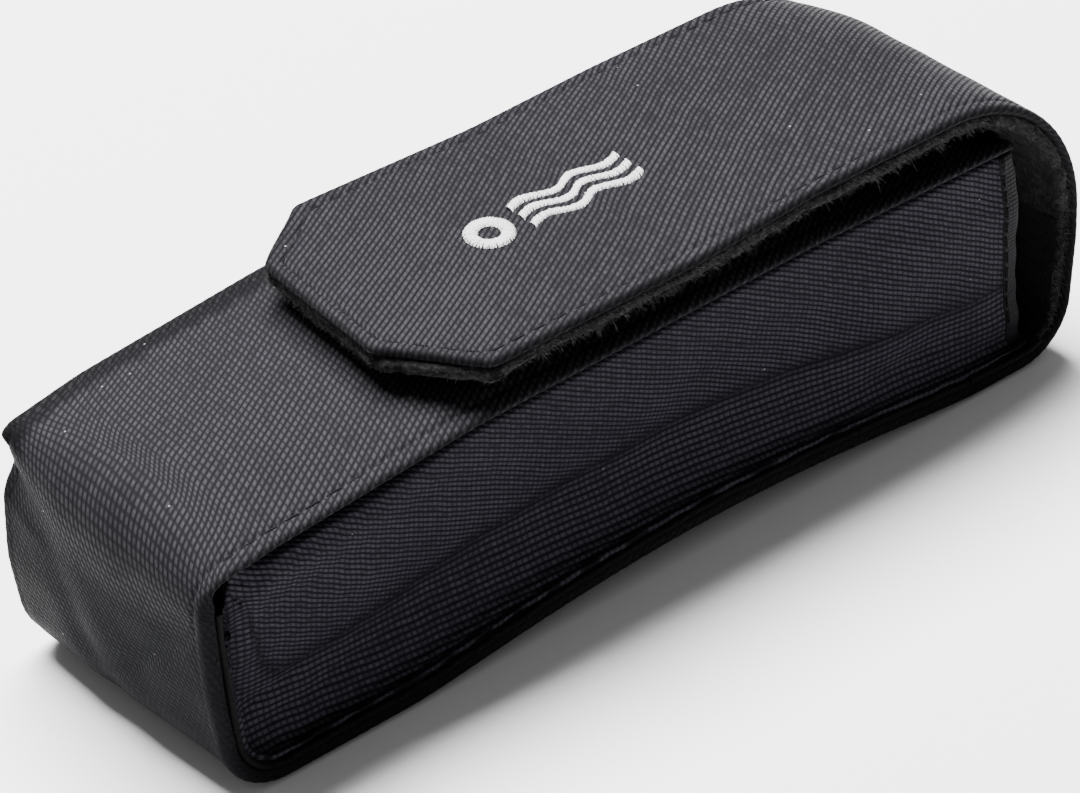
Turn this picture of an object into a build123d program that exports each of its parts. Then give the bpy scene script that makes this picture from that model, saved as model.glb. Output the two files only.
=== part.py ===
"""Padded belt pouch for a slim hand-held instrument.

The pouch lies on its back. X runs along it, from the closed end (-X) to the mouth (+X), Y runs
across it and Z points up, out of the front panel. The origin is under the middle of the pouch, on
the surface that it lies on. One padded strip makes the front, the closed end, the back, the riser
past the mouth and the lid that folds over the front. Two gussets close the sides.
"""

import os
from math import sqrt

from build123d import *

# Overall size, millimetres
LENGTH = 200.0
WIDTH = 60.0
LID_TOP = 62.0

# The padded strip: outer cloth, foam and pile lining
CLOTH = 1.2
FOAM = 2.0
LINING = 0.8
PADDING = CLOTH + FOAM + LINING
FOAM_INSET = 3.0  # the foam stops this far short of each cut edge

# The pouch's side outline
END_X = -LENGTH / 2
FRONT_TOP = 55.5  # the middle of the crowned front panel
FRONT_TOP_AT_FOLD = 50.0  # where the front panel starts, at the closed end's fold
FRONT_RISE_X = -40.0  # the front panel has its full height from here to FRONT_DIP_X
FRONT_DIP_X = 40.0
FRONT_TOP_AT_MOUTH = 51.8
CROWN = 4.0  # the front panel's middle stands this far above its long edges
CROWN_RADIUS = ((WIDTH / 2) ** 2 + CROWN**2) / (2 * CROWN)
CROWN_CENTRE_Z = FRONT_TOP - CROWN_RADIUS
END_FOLD_RADIUS = 9.0
END_CORNER_RADIUS = 13.0
MOUTH_X = 84.5
FRONT_DIP_SLOPE = (FRONT_TOP - FRONT_TOP_AT_MOUTH) / (MOUTH_X - FRONT_DIP_X)
BACK_END_X = 88.5  # the back panel ends and the riser starts here
MOUTH_LOW_Z = 14.0  # below this the mouth's edge slants out to the back panel's end

# The back panel bows up between its two ends, and the belt loop lies under the bow
BOW = 6.4
BOW_MIDDLE_X = 5.0
BOW_HALF = 75.0

# Gussets: how far each stands from the middle plane at the front panel, half way down and at its foot
GUSSET_TOP_Y = 28.8
GUSSET_MIDDLE_Y = 24.6
GUSSET_FOOT_Y = 23.2
GUSSET_FLANGE = 8.0  # the foot turns out and is sewn to the back panel's edge
GUSSET_CLOTH = 1.2
GUSSET_LINING = 0.6
BINDING_TAPE = 0.6
BINDING_WIDTH = 5.0

# Flap
FOLD_GAP = 0.3  # between two bodies at a fold
RISER_LOW_RADIUS = 12.0
RISER_TOP_RADIUS = 30.0
LID_FOLD_X = LENGTH / 2 - RISER_TOP_RADIUS
LID_TIP_X = -48.5
LID_CHAMFER = 14.0

# Hook-and-loop closure
PATCH_LENGTH = 32.0
PATCH_WIDTH = 36.0
PATCH_X = -20.0
PATCH_THICK = 1.0

# Belt loop
LOOP_WIDTH = 38.0
WEBBING = 1.3
LOOP_FLAT_HALF = 27.0
LOOP_RAMP = 9.0
LOOP_TAB = 16.0

# Sewing thread, as a raised run
THREAD_WIDTH = 0.6
THREAD_HIGH = 0.25
TOPSTITCH_INSET = 3.0

# Embroidered emblem: a ring and three waves
EMBLEM_X = 2.0
EMBLEM_LENGTH = 38.0
EMBLEM_RING_RADIUS = 4.7
EMBLEM_HOLE_RADIUS = 2.2
EMBLEM_THICK = 0.4
WAVE_COUNT = 3
WAVE_STROKE = 2.0
WAVE_PITCH = 3.3
WAVE_SWING = 1.0

FAR = 130.0  # a length past every edge of the pouch
os.makedirs("parts", exist_ok=True)


def write(built, name):
    """Label one finished piece and write it."""
    built.part.label = name
    export_step(built.part, f"parts/{name}.step")


def bow_height(x):
    """Height of the back panel's outer face under the bow."""
    radius = (BOW_HALF**2 + BOW**2) / (2 * BOW)
    return BOW - radius + sqrt(radius**2 - (x - BOW_MIDDLE_X) ** 2)


def pouch_block(depth):
    """Everything inside the pouch's outer face, pushed in by depth, and running on past the mouth."""
    with BuildPart() as block:
        with BuildSketch(Plane.XZ) as side:
            with BuildLine():
                back = ThreePointArc(
                    (BOW_MIDDLE_X + BOW_HALF, 0),
                    (BOW_MIDDLE_X, BOW),
                    (BOW_MIDDLE_X - BOW_HALF, 0),
                )
                Polyline(
                    back @ 1,
                    (END_X, 0),
                    (END_X, FRONT_TOP_AT_FOLD),
                    (FRONT_RISE_X, FRONT_TOP),
                    (FRONT_DIP_X, FRONT_TOP),
                    (FAR, FRONT_TOP - FRONT_DIP_SLOPE * (FAR - FRONT_DIP_X)),
                    (FAR, 0),
                    back @ 0,
                )
            make_face()
            fillet(side.vertices().group_by(Axis.X)[0].sort_by(Axis.Y)[0], radius=END_CORNER_RADIUS)
            fillet(side.vertices().group_by(Axis.X)[0].sort_by(Axis.Y)[-1], radius=END_FOLD_RADIUS)
            if depth:
                offset(amount=-depth, kind=Kind.INTERSECTION)
        extrude(amount=WIDTH / 2, both=True)
        with BuildSketch(Plane.YZ):
            with Locations((0, CROWN_CENTRE_Z)):
                Circle(CROWN_RADIUS - depth)
        extrude(amount=FAR, both=True, mode=Mode.INTERSECT)
    return block.part


def past_mouth(back_off=0.0):
    """Everything past the mouth's edge, or past a line set back from it."""
    with BuildPart() as past:
        with BuildSketch(Plane.XZ):
            with BuildLine():
                Polyline(
                    (BACK_END_X - back_off, -FAR),
                    (BACK_END_X - back_off, PADDING),
                    (MOUTH_X - back_off, MOUTH_LOW_Z),
                    (MOUTH_X - back_off, FAR),
                    (2 * FAR, FAR),
                    (2 * FAR, -FAR),
                    close=True,
                )
            make_face()
        extrude(amount=FAR, both=True)
    return past.part


def riser_block(depth):
    """Everything inside the riser's outer face, pushed in by depth, and open towards -X."""
    with BuildPart() as block:
        with BuildSketch(Plane.XZ) as side:
            with Locations((0, LID_TOP / 2)):
                Rectangle(LENGTH - 2 * depth, LID_TOP - 2 * depth)
            fillet(side.vertices().group_by(Axis.X)[-1].sort_by(Axis.Y)[0], radius=RISER_LOW_RADIUS - depth)
            fillet(side.vertices().group_by(Axis.X)[-1].sort_by(Axis.Y)[-1], radius=RISER_TOP_RADIUS - depth)
        extrude(amount=WIDTH / 2, both=True)
    return block.part


def before_riser(set_in=0.0):
    """What is cut from the riser at its two folds, and set_in further along."""
    with BuildPart() as before:
        with BuildSketch(Plane.XZ):
            with BuildLine():
                Polyline(
                    (-FAR, -FAR),
                    (BACK_END_X + FOLD_GAP + set_in, -FAR),
                    (BACK_END_X + FOLD_GAP + set_in, LID_TOP / 3),
                    (LID_FOLD_X + set_in, LID_TOP / 3),
                    (LID_FOLD_X + set_in, FAR),
                    (-FAR, FAR),
                    close=True,
                )
            make_face()
        extrude(amount=FAR, both=True)
    return before.part


def lid_outline(inset):
    """The lid's outline, seen from above, as a sketch: square at the fold and clipped at the tip."""
    with BuildSketch() as outline:
        with BuildLine():
            half = WIDTH / 2 - inset
            tip_half = WIDTH / 2 - LID_CHAMFER - inset * (sqrt(2) - 1)
            tip_x = LID_TIP_X + inset
            fold_x = LID_FOLD_X - FOLD_GAP
            Polyline(
                (fold_x, -half),
                (tip_x + half - tip_half, -half),
                (tip_x, -tip_half),
                (tip_x, tip_half),
                (tip_x + half - tip_half, half),
                (fold_x, half),
                close=True,
            )
        make_face()
    return outline.sketch


def lid_layer(inset, low, thick):
    """One layer of the lid."""
    with BuildPart() as layer:
        with BuildSketch(Plane.XY.offset(low)):
            add(lid_outline(inset))
        extrude(amount=thick)
    return layer


def frame_run(length, width, middle_x):
    """A thin closed rectangle of thread, as a sketch."""
    with BuildSketch() as run:
        with Locations((middle_x, 0)):
            Rectangle(length, width)
            Rectangle(length - 2 * THREAD_WIDTH, width - 2 * THREAD_WIDTH, mode=Mode.SUBTRACT)
    return run.sketch


# Pouch body ---------------------------------------------------------------------------------------
outer_block = pouch_block(0)
foam_block = pouch_block(CLOTH)
lining_block = pouch_block(CLOTH + FOAM)
cavity_block = pouch_block(PADDING)
mouth_cut = past_mouth()

with BuildPart() as body_outer:
    add(outer_block)
    add(foam_block, mode=Mode.SUBTRACT)
    add(mouth_cut, mode=Mode.SUBTRACT)
write(body_outer, "body_outer")

with BuildPart() as body_lining:
    add(lining_block)
    add(cavity_block, mode=Mode.SUBTRACT)
    add(mouth_cut, mode=Mode.SUBTRACT)
write(body_lining, "body_lining")

# Each foam board lies in a box between the folds: lowest and highest x, lowest and highest z
FOAM_SETBACK = 2.0
foam_boxes = {
    "front_foam": (END_X + END_FOLD_RADIUS, MOUTH_X - FOAM_SETBACK, FRONT_TOP_AT_FOLD - 12, FAR),
    "end_foam": (END_X, END_X + 8, END_CORNER_RADIUS, FRONT_TOP_AT_FOLD - END_FOLD_RADIUS),
    "back_foam": (END_X + END_CORNER_RADIUS, BACK_END_X - FOAM_SETBACK, -1, BOW + PADDING),
}
for foam_name, (x_low, x_high, z_low, z_high) in foam_boxes.items():
    with BuildPart() as foam:
        add(foam_block)
        add(lining_block, mode=Mode.SUBTRACT)
        with BuildSketch(Plane.XZ):
            with Locations(((x_low + x_high) / 2, (z_low + z_high) / 2)):
                Rectangle(x_high - x_low, z_high - z_low)
        extrude(amount=WIDTH / 2 - FOAM_INSET, both=True, mode=Mode.INTERSECT)
    write(foam, foam_name)


def gusset_face(side, depth):
    """A gusset's face across the pouch, pushed in by depth: an arc that bows in on its way down."""
    return ThreePointArc(
        (side * (GUSSET_TOP_Y - depth), FRONT_TOP),
        (side * (GUSSET_MIDDLE_Y - depth), FRONT_TOP / 2),
        (side * (GUSSET_FOOT_Y - depth), 0),
    )


def gusset_band(side, depth, thick):
    """A gusset's section across the pouch, as a sketch."""
    with BuildSketch() as band:
        with BuildLine():
            outside = gusset_face(side, depth)
            inside = gusset_face(side, depth + thick)
            Line(outside @ 0, inside @ 0)
            Line(outside @ 1, inside @ 1)
        make_face()
    return band.sketch


def gusset_layer(side, depth, thick):
    """One layer of a gusset, cut to the cavity and stopping just short of the mouth."""
    with BuildPart() as layer:
        with BuildSketch(Plane.YZ):
            add(gusset_band(side, depth, thick))
        extrude(amount=FAR, both=True)
        add(cavity_block, mode=Mode.INTERSECT)
        add(past_mouth(BINDING_TAPE), mode=Mode.SUBTRACT)
    return layer


def gusset_flange(side):
    """The gusset's foot, turned out flat along the back panel's edge."""
    low = END_X + END_CORNER_RADIUS
    high = MOUTH_X - BINDING_TAPE
    with BuildPart() as flange:
        add(cavity_block)
        add(pouch_block(PADDING + GUSSET_CLOTH), mode=Mode.SUBTRACT)
        with BuildSketch(Plane.XY):
            with Locations(((low + high) / 2, side * (WIDTH - GUSSET_FLANGE) / 2)):
                Rectangle(high - low, GUSSET_FLANGE)
        extrude(amount=BOW + PADDING + 2 * GUSSET_CLOTH, mode=Mode.INTERSECT)
    return flange


def gusset_binding(side, cloth, lining):
    """Tape folded over a gusset's mouth edge, outside and inside."""
    low = MOUTH_LOW_Z + PADDING
    high = FRONT_TOP - CROWN - PADDING - 2 * BINDING_TAPE
    with BuildPart() as tape:
        with BuildSketch(Plane.YZ.offset(MOUTH_X - BINDING_WIDTH)):
            add(gusset_band(side, -BINDING_TAPE, GUSSET_CLOTH + GUSSET_LINING + 2 * BINDING_TAPE))
        extrude(amount=BINDING_WIDTH)
        with BuildSketch(Plane.XZ):
            with Locations((MOUTH_X, (low + high) / 2)):
                Rectangle(2 * BINDING_WIDTH, high - low)
        extrude(amount=WIDTH, both=True, mode=Mode.INTERSECT)
        add(cloth.part, mode=Mode.SUBTRACT)
        add(lining.part, mode=Mode.SUBTRACT)
    return tape


gusset_pieces = []
for side_name, side in (("right", -1), ("left", 1)):
    with BuildPart() as gusset:
        add(gusset_layer(side, 0, GUSSET_CLOTH).part)
        add(gusset_flange(side).part)
    write(gusset, f"{side_name}_gusset")
    with BuildPart() as gusset_lining:
        add(gusset_layer(side, GUSSET_CLOTH, GUSSET_LINING).part)
        add(gusset.part, mode=Mode.SUBTRACT)
    write(gusset_lining, f"{side_name}_gusset_lining")
    mouth_binding = gusset_binding(side, gusset, gusset_lining)
    write(mouth_binding, f"{side_name}_mouth_binding")
    gusset_pieces += [gusset.part, gusset_lining.part]

# Tape folded over the front panel's mouth edge. It doesn't fill the layer between cloth and lining.
with BuildPart() as padding_gap:
    add(foam_block)
    add(lining_block, mode=Mode.SUBTRACT)
    add(mouth_cut, mode=Mode.SUBTRACT)

with BuildPart() as front_mouth_binding:
    add(pouch_block(-BINDING_TAPE))
    add(pouch_block(PADDING + BINDING_TAPE), mode=Mode.SUBTRACT)
    with BuildSketch(Plane.XZ):
        with Locations((MOUTH_X + BINDING_TAPE - BINDING_WIDTH / 2, FRONT_TOP)):
            Rectangle(BINDING_WIDTH, 4 * PADDING)
    extrude(amount=WIDTH / 2, both=True, mode=Mode.INTERSECT)
    for piece in (body_outer.part, padding_gap.part, body_lining.part, *gusset_pieces):
        add(piece, mode=Mode.SUBTRACT)
write(front_mouth_binding, "front_mouth_binding")

# Threads that close the front panel's long seams
with BuildPart() as front_seam_thread:
    add(pouch_block(-THREAD_HIGH))
    add(outer_block, mode=Mode.SUBTRACT)
    seam_low = END_X + END_FOLD_RADIUS
    seam_high = MOUTH_X - BINDING_WIDTH
    with BuildSketch(Plane.XY.offset(FRONT_TOP_AT_FOLD - CROWN)):
        with GridLocations(0, WIDTH - 2 * TOPSTITCH_INSET, 1, 2):
            with Locations(((seam_low + seam_high) / 2, 0)):
                Rectangle(seam_high - seam_low, THREAD_WIDTH)
    extrude(amount=FAR, mode=Mode.INTERSECT)
write(front_seam_thread, "front_seam_thread")

# Threads that hold the gussets down on the back panel's edges
with BuildPart() as flange_thread:
    add(pouch_block(PADDING + GUSSET_CLOTH))
    add(pouch_block(PADDING + GUSSET_CLOTH + THREAD_HIGH), mode=Mode.SUBTRACT)
    flange_low = END_X + END_CORNER_RADIUS
    with BuildSketch(Plane.XY):
        with GridLocations(0, WIDTH - 2 * TOPSTITCH_INSET, 1, 2):
            with Locations(((flange_low + MOUTH_X) / 2, 0)):
                Rectangle(MOUTH_X - flange_low, THREAD_WIDTH)
    extrude(amount=BOW + PADDING + 2 * GUSSET_CLOTH, mode=Mode.INTERSECT)
write(flange_thread, "flange_thread")

# Hook-and-loop closure ----------------------------------------------------------------------------
with BuildPart() as loop_patch:
    add(pouch_block(-PATCH_THICK))
    add(outer_block, mode=Mode.SUBTRACT)
    with BuildSketch(Plane.XY.offset(FRONT_TOP / 2)):
        with Locations((PATCH_X, 0)):
            Rectangle(PATCH_LENGTH, PATCH_WIDTH)
    extrude(amount=FAR, mode=Mode.INTERSECT)
write(loop_patch, "loop_patch")

PATCH_STITCH_INSET = 2.0
with BuildPart() as loop_patch_thread:
    add(pouch_block(-PATCH_THICK - THREAD_HIGH))
    add(pouch_block(-PATCH_THICK), mode=Mode.SUBTRACT)
    with BuildSketch(Plane.XY.offset(FRONT_TOP / 2)):
        add(frame_run(PATCH_LENGTH - 2 * PATCH_STITCH_INSET, PATCH_WIDTH - 2 * PATCH_STITCH_INSET, PATCH_X))
    extrude(amount=FAR, mode=Mode.INTERSECT)
write(loop_patch_thread, "loop_patch_thread")

# Belt loop ----------------------------------------------------------------------------------------
# A strip of webbing: flat in the middle, ramped up at both ends, and sewn to the back by two tabs.
with BuildPart() as belt_loop:
    add(pouch_block(-WEBBING))
    add(outer_block, mode=Mode.SUBTRACT)
    tab_middle = LOOP_FLAT_HALF + LOOP_RAMP + LOOP_TAB / 2
    with BuildSketch(Plane.XY.offset(-FAR)):
        with Locations((BOW_MIDDLE_X, 0)):
            with GridLocations(2 * tab_middle, 0, 2, 1):
                Rectangle(LOOP_TAB, LOOP_WIDTH)
    extrude(amount=FAR + BOW, mode=Mode.INTERSECT)
    with BuildSketch(Plane.XZ):
        with BuildLine():
            tab_x = LOOP_FLAT_HALF + LOOP_RAMP
            tab_z = bow_height(BOW_MIDDLE_X + tab_x)
            upper = [(LOOP_FLAT_HALF, WEBBING), (tab_x, tab_z)]
            right_half = upper + [(tab_x, tab_z - WEBBING), (LOOP_FLAT_HALF, 0)]
            left_half = [(-x, z) for x, z in reversed(right_half)]
            Polyline(*[(BOW_MIDDLE_X + x, z) for x, z in right_half + left_half], close=True)
        make_face()
    extrude(amount=LOOP_WIDTH / 2, both=True)
write(belt_loop, "belt_loop")

LOOP_STITCH_INSET = 2.0
with BuildPart() as belt_loop_thread:
    add(pouch_block(-WEBBING - THREAD_HIGH))
    add(pouch_block(-WEBBING), mode=Mode.SUBTRACT)
    with BuildSketch(Plane.XY.offset(-FAR)):
        for tab_side in (-1, 1):
            add(
                frame_run(
                    LOOP_TAB - 2 * LOOP_STITCH_INSET,
                    LOOP_WIDTH - 2 * LOOP_STITCH_INSET,
                    BOW_MIDDLE_X + tab_side * tab_middle,
                )
            )
    extrude(amount=FAR + BOW, mode=Mode.INTERSECT)
write(belt_loop_thread, "belt_loop_thread")

# Flap riser ---------------------------------------------------------------------------------------
riser_layers = {
    "riser_outer": (0, CLOTH, 0, 0),
    "riser_foam": (CLOTH, CLOTH + FOAM, FOAM_INSET, FOAM_SETBACK),
    "riser_lining": (CLOTH + FOAM, PADDING, 0, 0),
    "riser_thread": (-THREAD_HIGH, 0, 0, FOAM_SETBACK),
}
for riser_name, (depth_out, depth_in, side_inset, set_in) in riser_layers.items():
    with BuildPart() as riser:
        add(riser_block(depth_out))
        add(riser_block(depth_in), mode=Mode.SUBTRACT)
        add(before_riser(set_in), mode=Mode.SUBTRACT)
        with BuildSketch(Plane.XY.offset(-FAR)):
            if riser_name == "riser_thread":
                with GridLocations(0, WIDTH - 2 * TOPSTITCH_INSET, 1, 2):
                    Rectangle(2 * FAR, THREAD_WIDTH)
            else:
                Rectangle(2 * FAR, WIDTH - 2 * side_inset)
        extrude(amount=2 * FAR, mode=Mode.INTERSECT)
    write(riser, riser_name)

# Lid ----------------------------------------------------------------------------------------------
lid_layers = {
    "lid_outer": (0, LID_TOP - CLOTH, CLOTH),
    "lid_foam": (FOAM_INSET, LID_TOP - CLOTH - FOAM, FOAM),
    "lid_lining": (0, LID_TOP - PADDING, LINING),
}
for lid_name, (inset, low, thick) in lid_layers.items():
    write(lid_layer(inset, low, thick), lid_name)

with BuildPart() as lid_thread:
    with BuildSketch(Plane.XY.offset(LID_TOP)):
        add(lid_outline(TOPSTITCH_INSET))
        add(lid_outline(TOPSTITCH_INSET + THREAD_WIDTH), mode=Mode.SUBTRACT)
        with Locations((LID_FOLD_X, 0)):
            Rectangle(2 * TOPSTITCH_INSET, WIDTH, mode=Mode.SUBTRACT)
    extrude(amount=THREAD_HIGH)
write(lid_thread, "lid_thread")

with BuildPart() as hook_patch:
    with BuildSketch(Plane.XY.offset(LID_TOP - PADDING - PATCH_THICK)):
        with Locations((PATCH_X, 0)):
            Rectangle(PATCH_LENGTH, PATCH_WIDTH)
    extrude(amount=PATCH_THICK)
write(hook_patch, "hook_patch")

with BuildPart() as emblem:
    with BuildSketch(Plane.XY.offset(LID_TOP)):
        with Locations((EMBLEM_X - EMBLEM_LENGTH / 2 + EMBLEM_RING_RADIUS, 0)):
            Circle(EMBLEM_RING_RADIUS)
            Circle(EMBLEM_HOLE_RADIUS, mode=Mode.SUBTRACT)
        wave_low = EMBLEM_X - EMBLEM_LENGTH / 2 + 2 * EMBLEM_RING_RADIUS + WAVE_STROKE
        wave_step = (EMBLEM_X + EMBLEM_LENGTH / 2 - WAVE_STROKE / 2 - wave_low) / 4
        for row in range(WAVE_COUNT):
            wave_y = (row - (WAVE_COUNT - 1) / 2) * WAVE_PITCH
            with BuildLine() as wave:
                Spline(*[(wave_low + i * wave_step, wave_y + WAVE_SWING * (-1) ** i / 2) for i in range(5)])
            trace(wave.line, line_width=WAVE_STROKE)
    extrude(amount=EMBLEM_THICK)
write(emblem, "emblem")
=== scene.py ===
"""Looks of a padded belt pouch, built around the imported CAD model.

Lengths are in millimetres until a mesh is made. X runs along the pouch, from the closed end to the
mouth, Y across it and Z up. The padded strip of cloth is one long path: it starts at the front
panel's mouth edge, runs to the closed end, along the back, up the riser and ends at the lid's tip.
"""

import math

import bmesh
import bpy
import numpy as np
from mathutils import Matrix, Vector


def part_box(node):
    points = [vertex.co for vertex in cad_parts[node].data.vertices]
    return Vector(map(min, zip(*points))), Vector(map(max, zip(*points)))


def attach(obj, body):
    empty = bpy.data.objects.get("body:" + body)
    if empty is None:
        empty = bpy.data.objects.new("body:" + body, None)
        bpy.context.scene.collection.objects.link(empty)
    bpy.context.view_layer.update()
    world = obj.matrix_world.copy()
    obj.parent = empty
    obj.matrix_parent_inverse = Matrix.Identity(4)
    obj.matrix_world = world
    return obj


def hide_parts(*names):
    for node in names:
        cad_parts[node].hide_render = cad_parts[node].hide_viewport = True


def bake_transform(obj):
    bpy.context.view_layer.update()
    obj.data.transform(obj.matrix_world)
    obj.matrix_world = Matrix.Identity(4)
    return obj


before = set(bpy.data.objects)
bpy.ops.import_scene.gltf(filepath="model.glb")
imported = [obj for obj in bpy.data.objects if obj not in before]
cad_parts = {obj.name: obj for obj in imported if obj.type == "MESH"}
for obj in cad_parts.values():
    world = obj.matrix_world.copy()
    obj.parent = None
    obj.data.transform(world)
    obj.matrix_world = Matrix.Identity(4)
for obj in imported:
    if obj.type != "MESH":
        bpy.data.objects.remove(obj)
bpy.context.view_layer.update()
MM = 0.001
rng = np.random.default_rng(7)


def box_mm(node):
    """A CAD node's lowest and highest corners, in millimetres."""
    low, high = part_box(node)
    return np.array(low) / MM, np.array(high) / MM


# Places taken from the frame ---------------------------------------------------------------------
body_low, body_high = box_mm("body_outer")
_, riser_high = box_mm("riser_outer")
lid_low, lid_high = box_mm("lid_outer")
lining_low, _ = box_mm("lid_lining")
_, binding_high = box_mm("front_mouth_binding")
loop_low, loop_high = box_mm("belt_loop")
patch_low, patch_high = box_mm("loop_patch")
hook_low, hook_high = box_mm("hook_patch")
emblem_low, emblem_high = box_mm("emblem")

HALF = body_high[1]
END_X = body_low[0]
RISER_X = riser_high[0]
BACK_END_X = body_high[0]
FOLD_X = lid_high[0]
TIP_X = lid_low[0]
LID_TOP = lid_high[2]
FRONT_TOP = body_high[2]
PADDING = LID_TOP - lining_low[2]
MOUTH_X = binding_high[0] - 0.6
LOOP_X = (loop_low[0] + loop_high[0]) / 2
RISER_MIDDLE_Z = LID_TOP / 2 - 3

# Cloth
FLOAT_LONG = 1.23
ROLL = 0.8  # radius of the outer cloth's rolled edge on the flap
FRONT_ROLL = 0.55
BODY_ROLL = 1.45
CLOTH = 1.15
CHAMFER = 14.0  # the lid's clipped corners
CHAMFER_INSET = 0.59  # how much less a chamfer is for each millimetre of inset
LINING_INSET = 0.4
STITCH_INSET = 3.0
STITCH_PITCH = 4.6
STITCH_LENGTH = 3.7


# Shape helpers -----------------------------------------------------------------------------------
def ease(t):
    """0 to 1 with no sudden start or stop."""
    t = np.clip(t, 0, 1)
    return t * t * (3 - 2 * t)


def waves(x, y, size, seed, count=7):
    """Soft uneven swells over a surface, from about -1 to 1, of a given size in millimetres."""
    r = np.random.default_rng(seed)
    total = np.zeros(np.broadcast(x, y).shape)
    for _ in range(count):
        turn, phase, scale = r.uniform(0, 2 * np.pi, 2).tolist() + [r.uniform(0.6, 1.6)]
        total += np.sin((x * np.cos(turn) + y * np.sin(turn)) * 2 * np.pi / (size * scale) + phase)
    return total / math.sqrt(count)


def distances(points):
    """How far along a line each of its points is."""
    return np.concatenate([[0], np.cumsum(np.linalg.norm(np.diff(points, axis=0), axis=1))])


def walked(corners, step=0.4):
    """Both coordinates of points at even steps along the straight lines between corners."""
    run = distances(corners)
    at = np.arange(0, run[-1], step)
    return np.interp(at, run, corners[:, 0]), np.interp(at, run, corners[:, 1])


def smoothed(values, size=7):
    """A row of numbers averaged over a soft window."""
    window = np.hanning(size) / np.hanning(size).sum()
    return np.convolve(np.pad(values, size // 2, "edge"), window, "valid")


def rounded_path(corners, run_points=40, arc_points=24):
    """Points along straight runs with rounded corners. Each corner is (x, z, radius)."""
    xz = np.array([c[:2] for c in corners], float)
    radii = [c[2] for c in corners]
    points, start = [], xz[0]
    for i in range(1, len(xz) - 1):
        back = (xz[i - 1] - xz[i]) / np.linalg.norm(xz[i - 1] - xz[i])
        on = (xz[i + 1] - xz[i]) / np.linalg.norm(xz[i + 1] - xz[i])
        half_turn = math.acos(np.clip(back @ on, -1, 1)) / 2
        reach = radii[i] / math.tan(half_turn)
        first, last = xz[i] + back * reach, xz[i] + on * reach
        middle = (back + on) / np.linalg.norm(back + on)
        centre = xz[i] + middle * radii[i] / math.sin(half_turn)
        points += list(np.linspace(start, first, run_points, endpoint=False))
        a, b = first - centre, last - centre
        sweep = math.pi - 2 * half_turn
        for t in np.linspace(0, 1, arc_points, endpoint=False):
            points.append(
                centre + (a * math.sin((1 - t) * sweep) + b * math.sin(t * sweep)) / math.sin(sweep)
            )
        start = last
    points += list(np.linspace(start, xz[-1], run_points))
    return np.array(points)


def bow(x, height, power, middle=-1.5, half=76):
    """How far the back panel bows up off the surface under it."""
    u = np.clip((x - LOOP_X - middle) / half, -1, 1)
    return height * (1 - u * u) ** power


# The strip's path down its middle and along its two edges: x, z and the corner's radius
middle_corners = [
    (MOUTH_X, 51.7, 0),
    (38, FRONT_TOP + 0.2, 90),
    (-40, FRONT_TOP - 0.3, 120),
    (-84, 52.6, 60),
    (END_X - 0.2, 50.4, 12),
    (END_X - 0.5, 36, 20),
    (END_X - 0.4, 30, 20),
    (END_X - 0.2, 22, 40),
    (END_X + 2.9, 0, 16),
    (RISER_X - 1.2, 0, 12),
    (RISER_X + 0.2, 23, 30),
    (RISER_X + 0.9, LID_TOP + 0.5, 31),
    (36, LID_TOP + 0.8, 120),
    (8, LID_TOP, 120),
    (TIP_X, LID_TOP + 0.5, 0),
]
near_corners = [
    (MOUTH_X, 50.8, 0),
    (38, 52.2, 90),
    (-40, 51.7, 120),
    (-84, 48.6, 60),
    (END_X - 0.3, 46.6, 6),
    (END_X + 0.1, 40, 20),
    (END_X + 0.3, 34, 20),
    (END_X + 0.9, 22, 40),
    (END_X + 3.6, 0, 12.5),
    (RISER_X - 1.6, 0, 12),
    (RISER_X + 1.2, 24, 30),
    (RISER_X + 1.8, LID_TOP - 0.1, 32),
    (38, LID_TOP + 0.9, 90),
    (10, LID_TOP - 0.8, 100),
    (TIP_X, LID_TOP + 0.2, 0),
]
far_corners = [
    (MOUTH_X, 51.6, 0),
    (38, 53.3, 90),
    (-40, 53.6, 80),
    (-80, 50.3, 40),
    (END_X + 2.6, 47.2, 2.4),
    (END_X + 5.6, 40.8, 1.0),
    (END_X + 2.1, 35.6, 3),
    (END_X + 1.5, 22, 30),
    (END_X + 4.7, 0, 13),
    (RISER_X - 1.6, 0, 12),
    (RISER_X + 0.3, 22, 30),
    (RISER_X + 0.2, LID_TOP - 1.5, 36),
    (36, LID_TOP - 0.6, 120),
    (8, LID_TOP - 1.0, 120),
    (TIP_X, LID_TOP + 1.4, 0),
]
STEP = 0.6
middle_path, near_path, far_path = (rounded_path(c) for c in (middle_corners, near_corners, far_corners))
for path, *kind in ((middle_path, 6.6, 1.0), (near_path, 4.75, 1.3, 4, 66), (far_path, 4.9, 1.3)):
    on_back = path[:, 1] < 20
    path[on_back, 1] += bow(path[on_back, 0], *kind)
mean_path = middle_path / 2 + (near_path + far_path) / 4
along = distances(mean_path)
STRIP_LENGTH = along[-1]
s_line = np.linspace(0, STRIP_LENGTH, int(STRIP_LENGTH / STEP) + 1)


def resampled(path):
    """The path at even steps of s, with its changes of curvature softened."""
    line = np.stack([np.interp(s_line, along, path[:, k]) for k in (0, 1)], 1)
    window = np.hanning(7)
    window /= window.sum()
    pad = len(window) // 2
    ends = np.concatenate(
        [
            2 * line[:1] - line[pad:0:-1],
            line,
            2 * line[-1:] - line[-2 : -pad - 2 : -1],
        ]
    )
    return np.stack([np.convolve(ends[:, k], window, mode="valid") for k in (0, 1)], 1)


middle_line, edge_line, far_line = (resampled(p) for p in (middle_path, near_path, far_path))


def s_where(condition):
    """The first s on the strip at which the condition holds."""
    return s_line[np.nonzero(condition)[0][0]]


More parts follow.
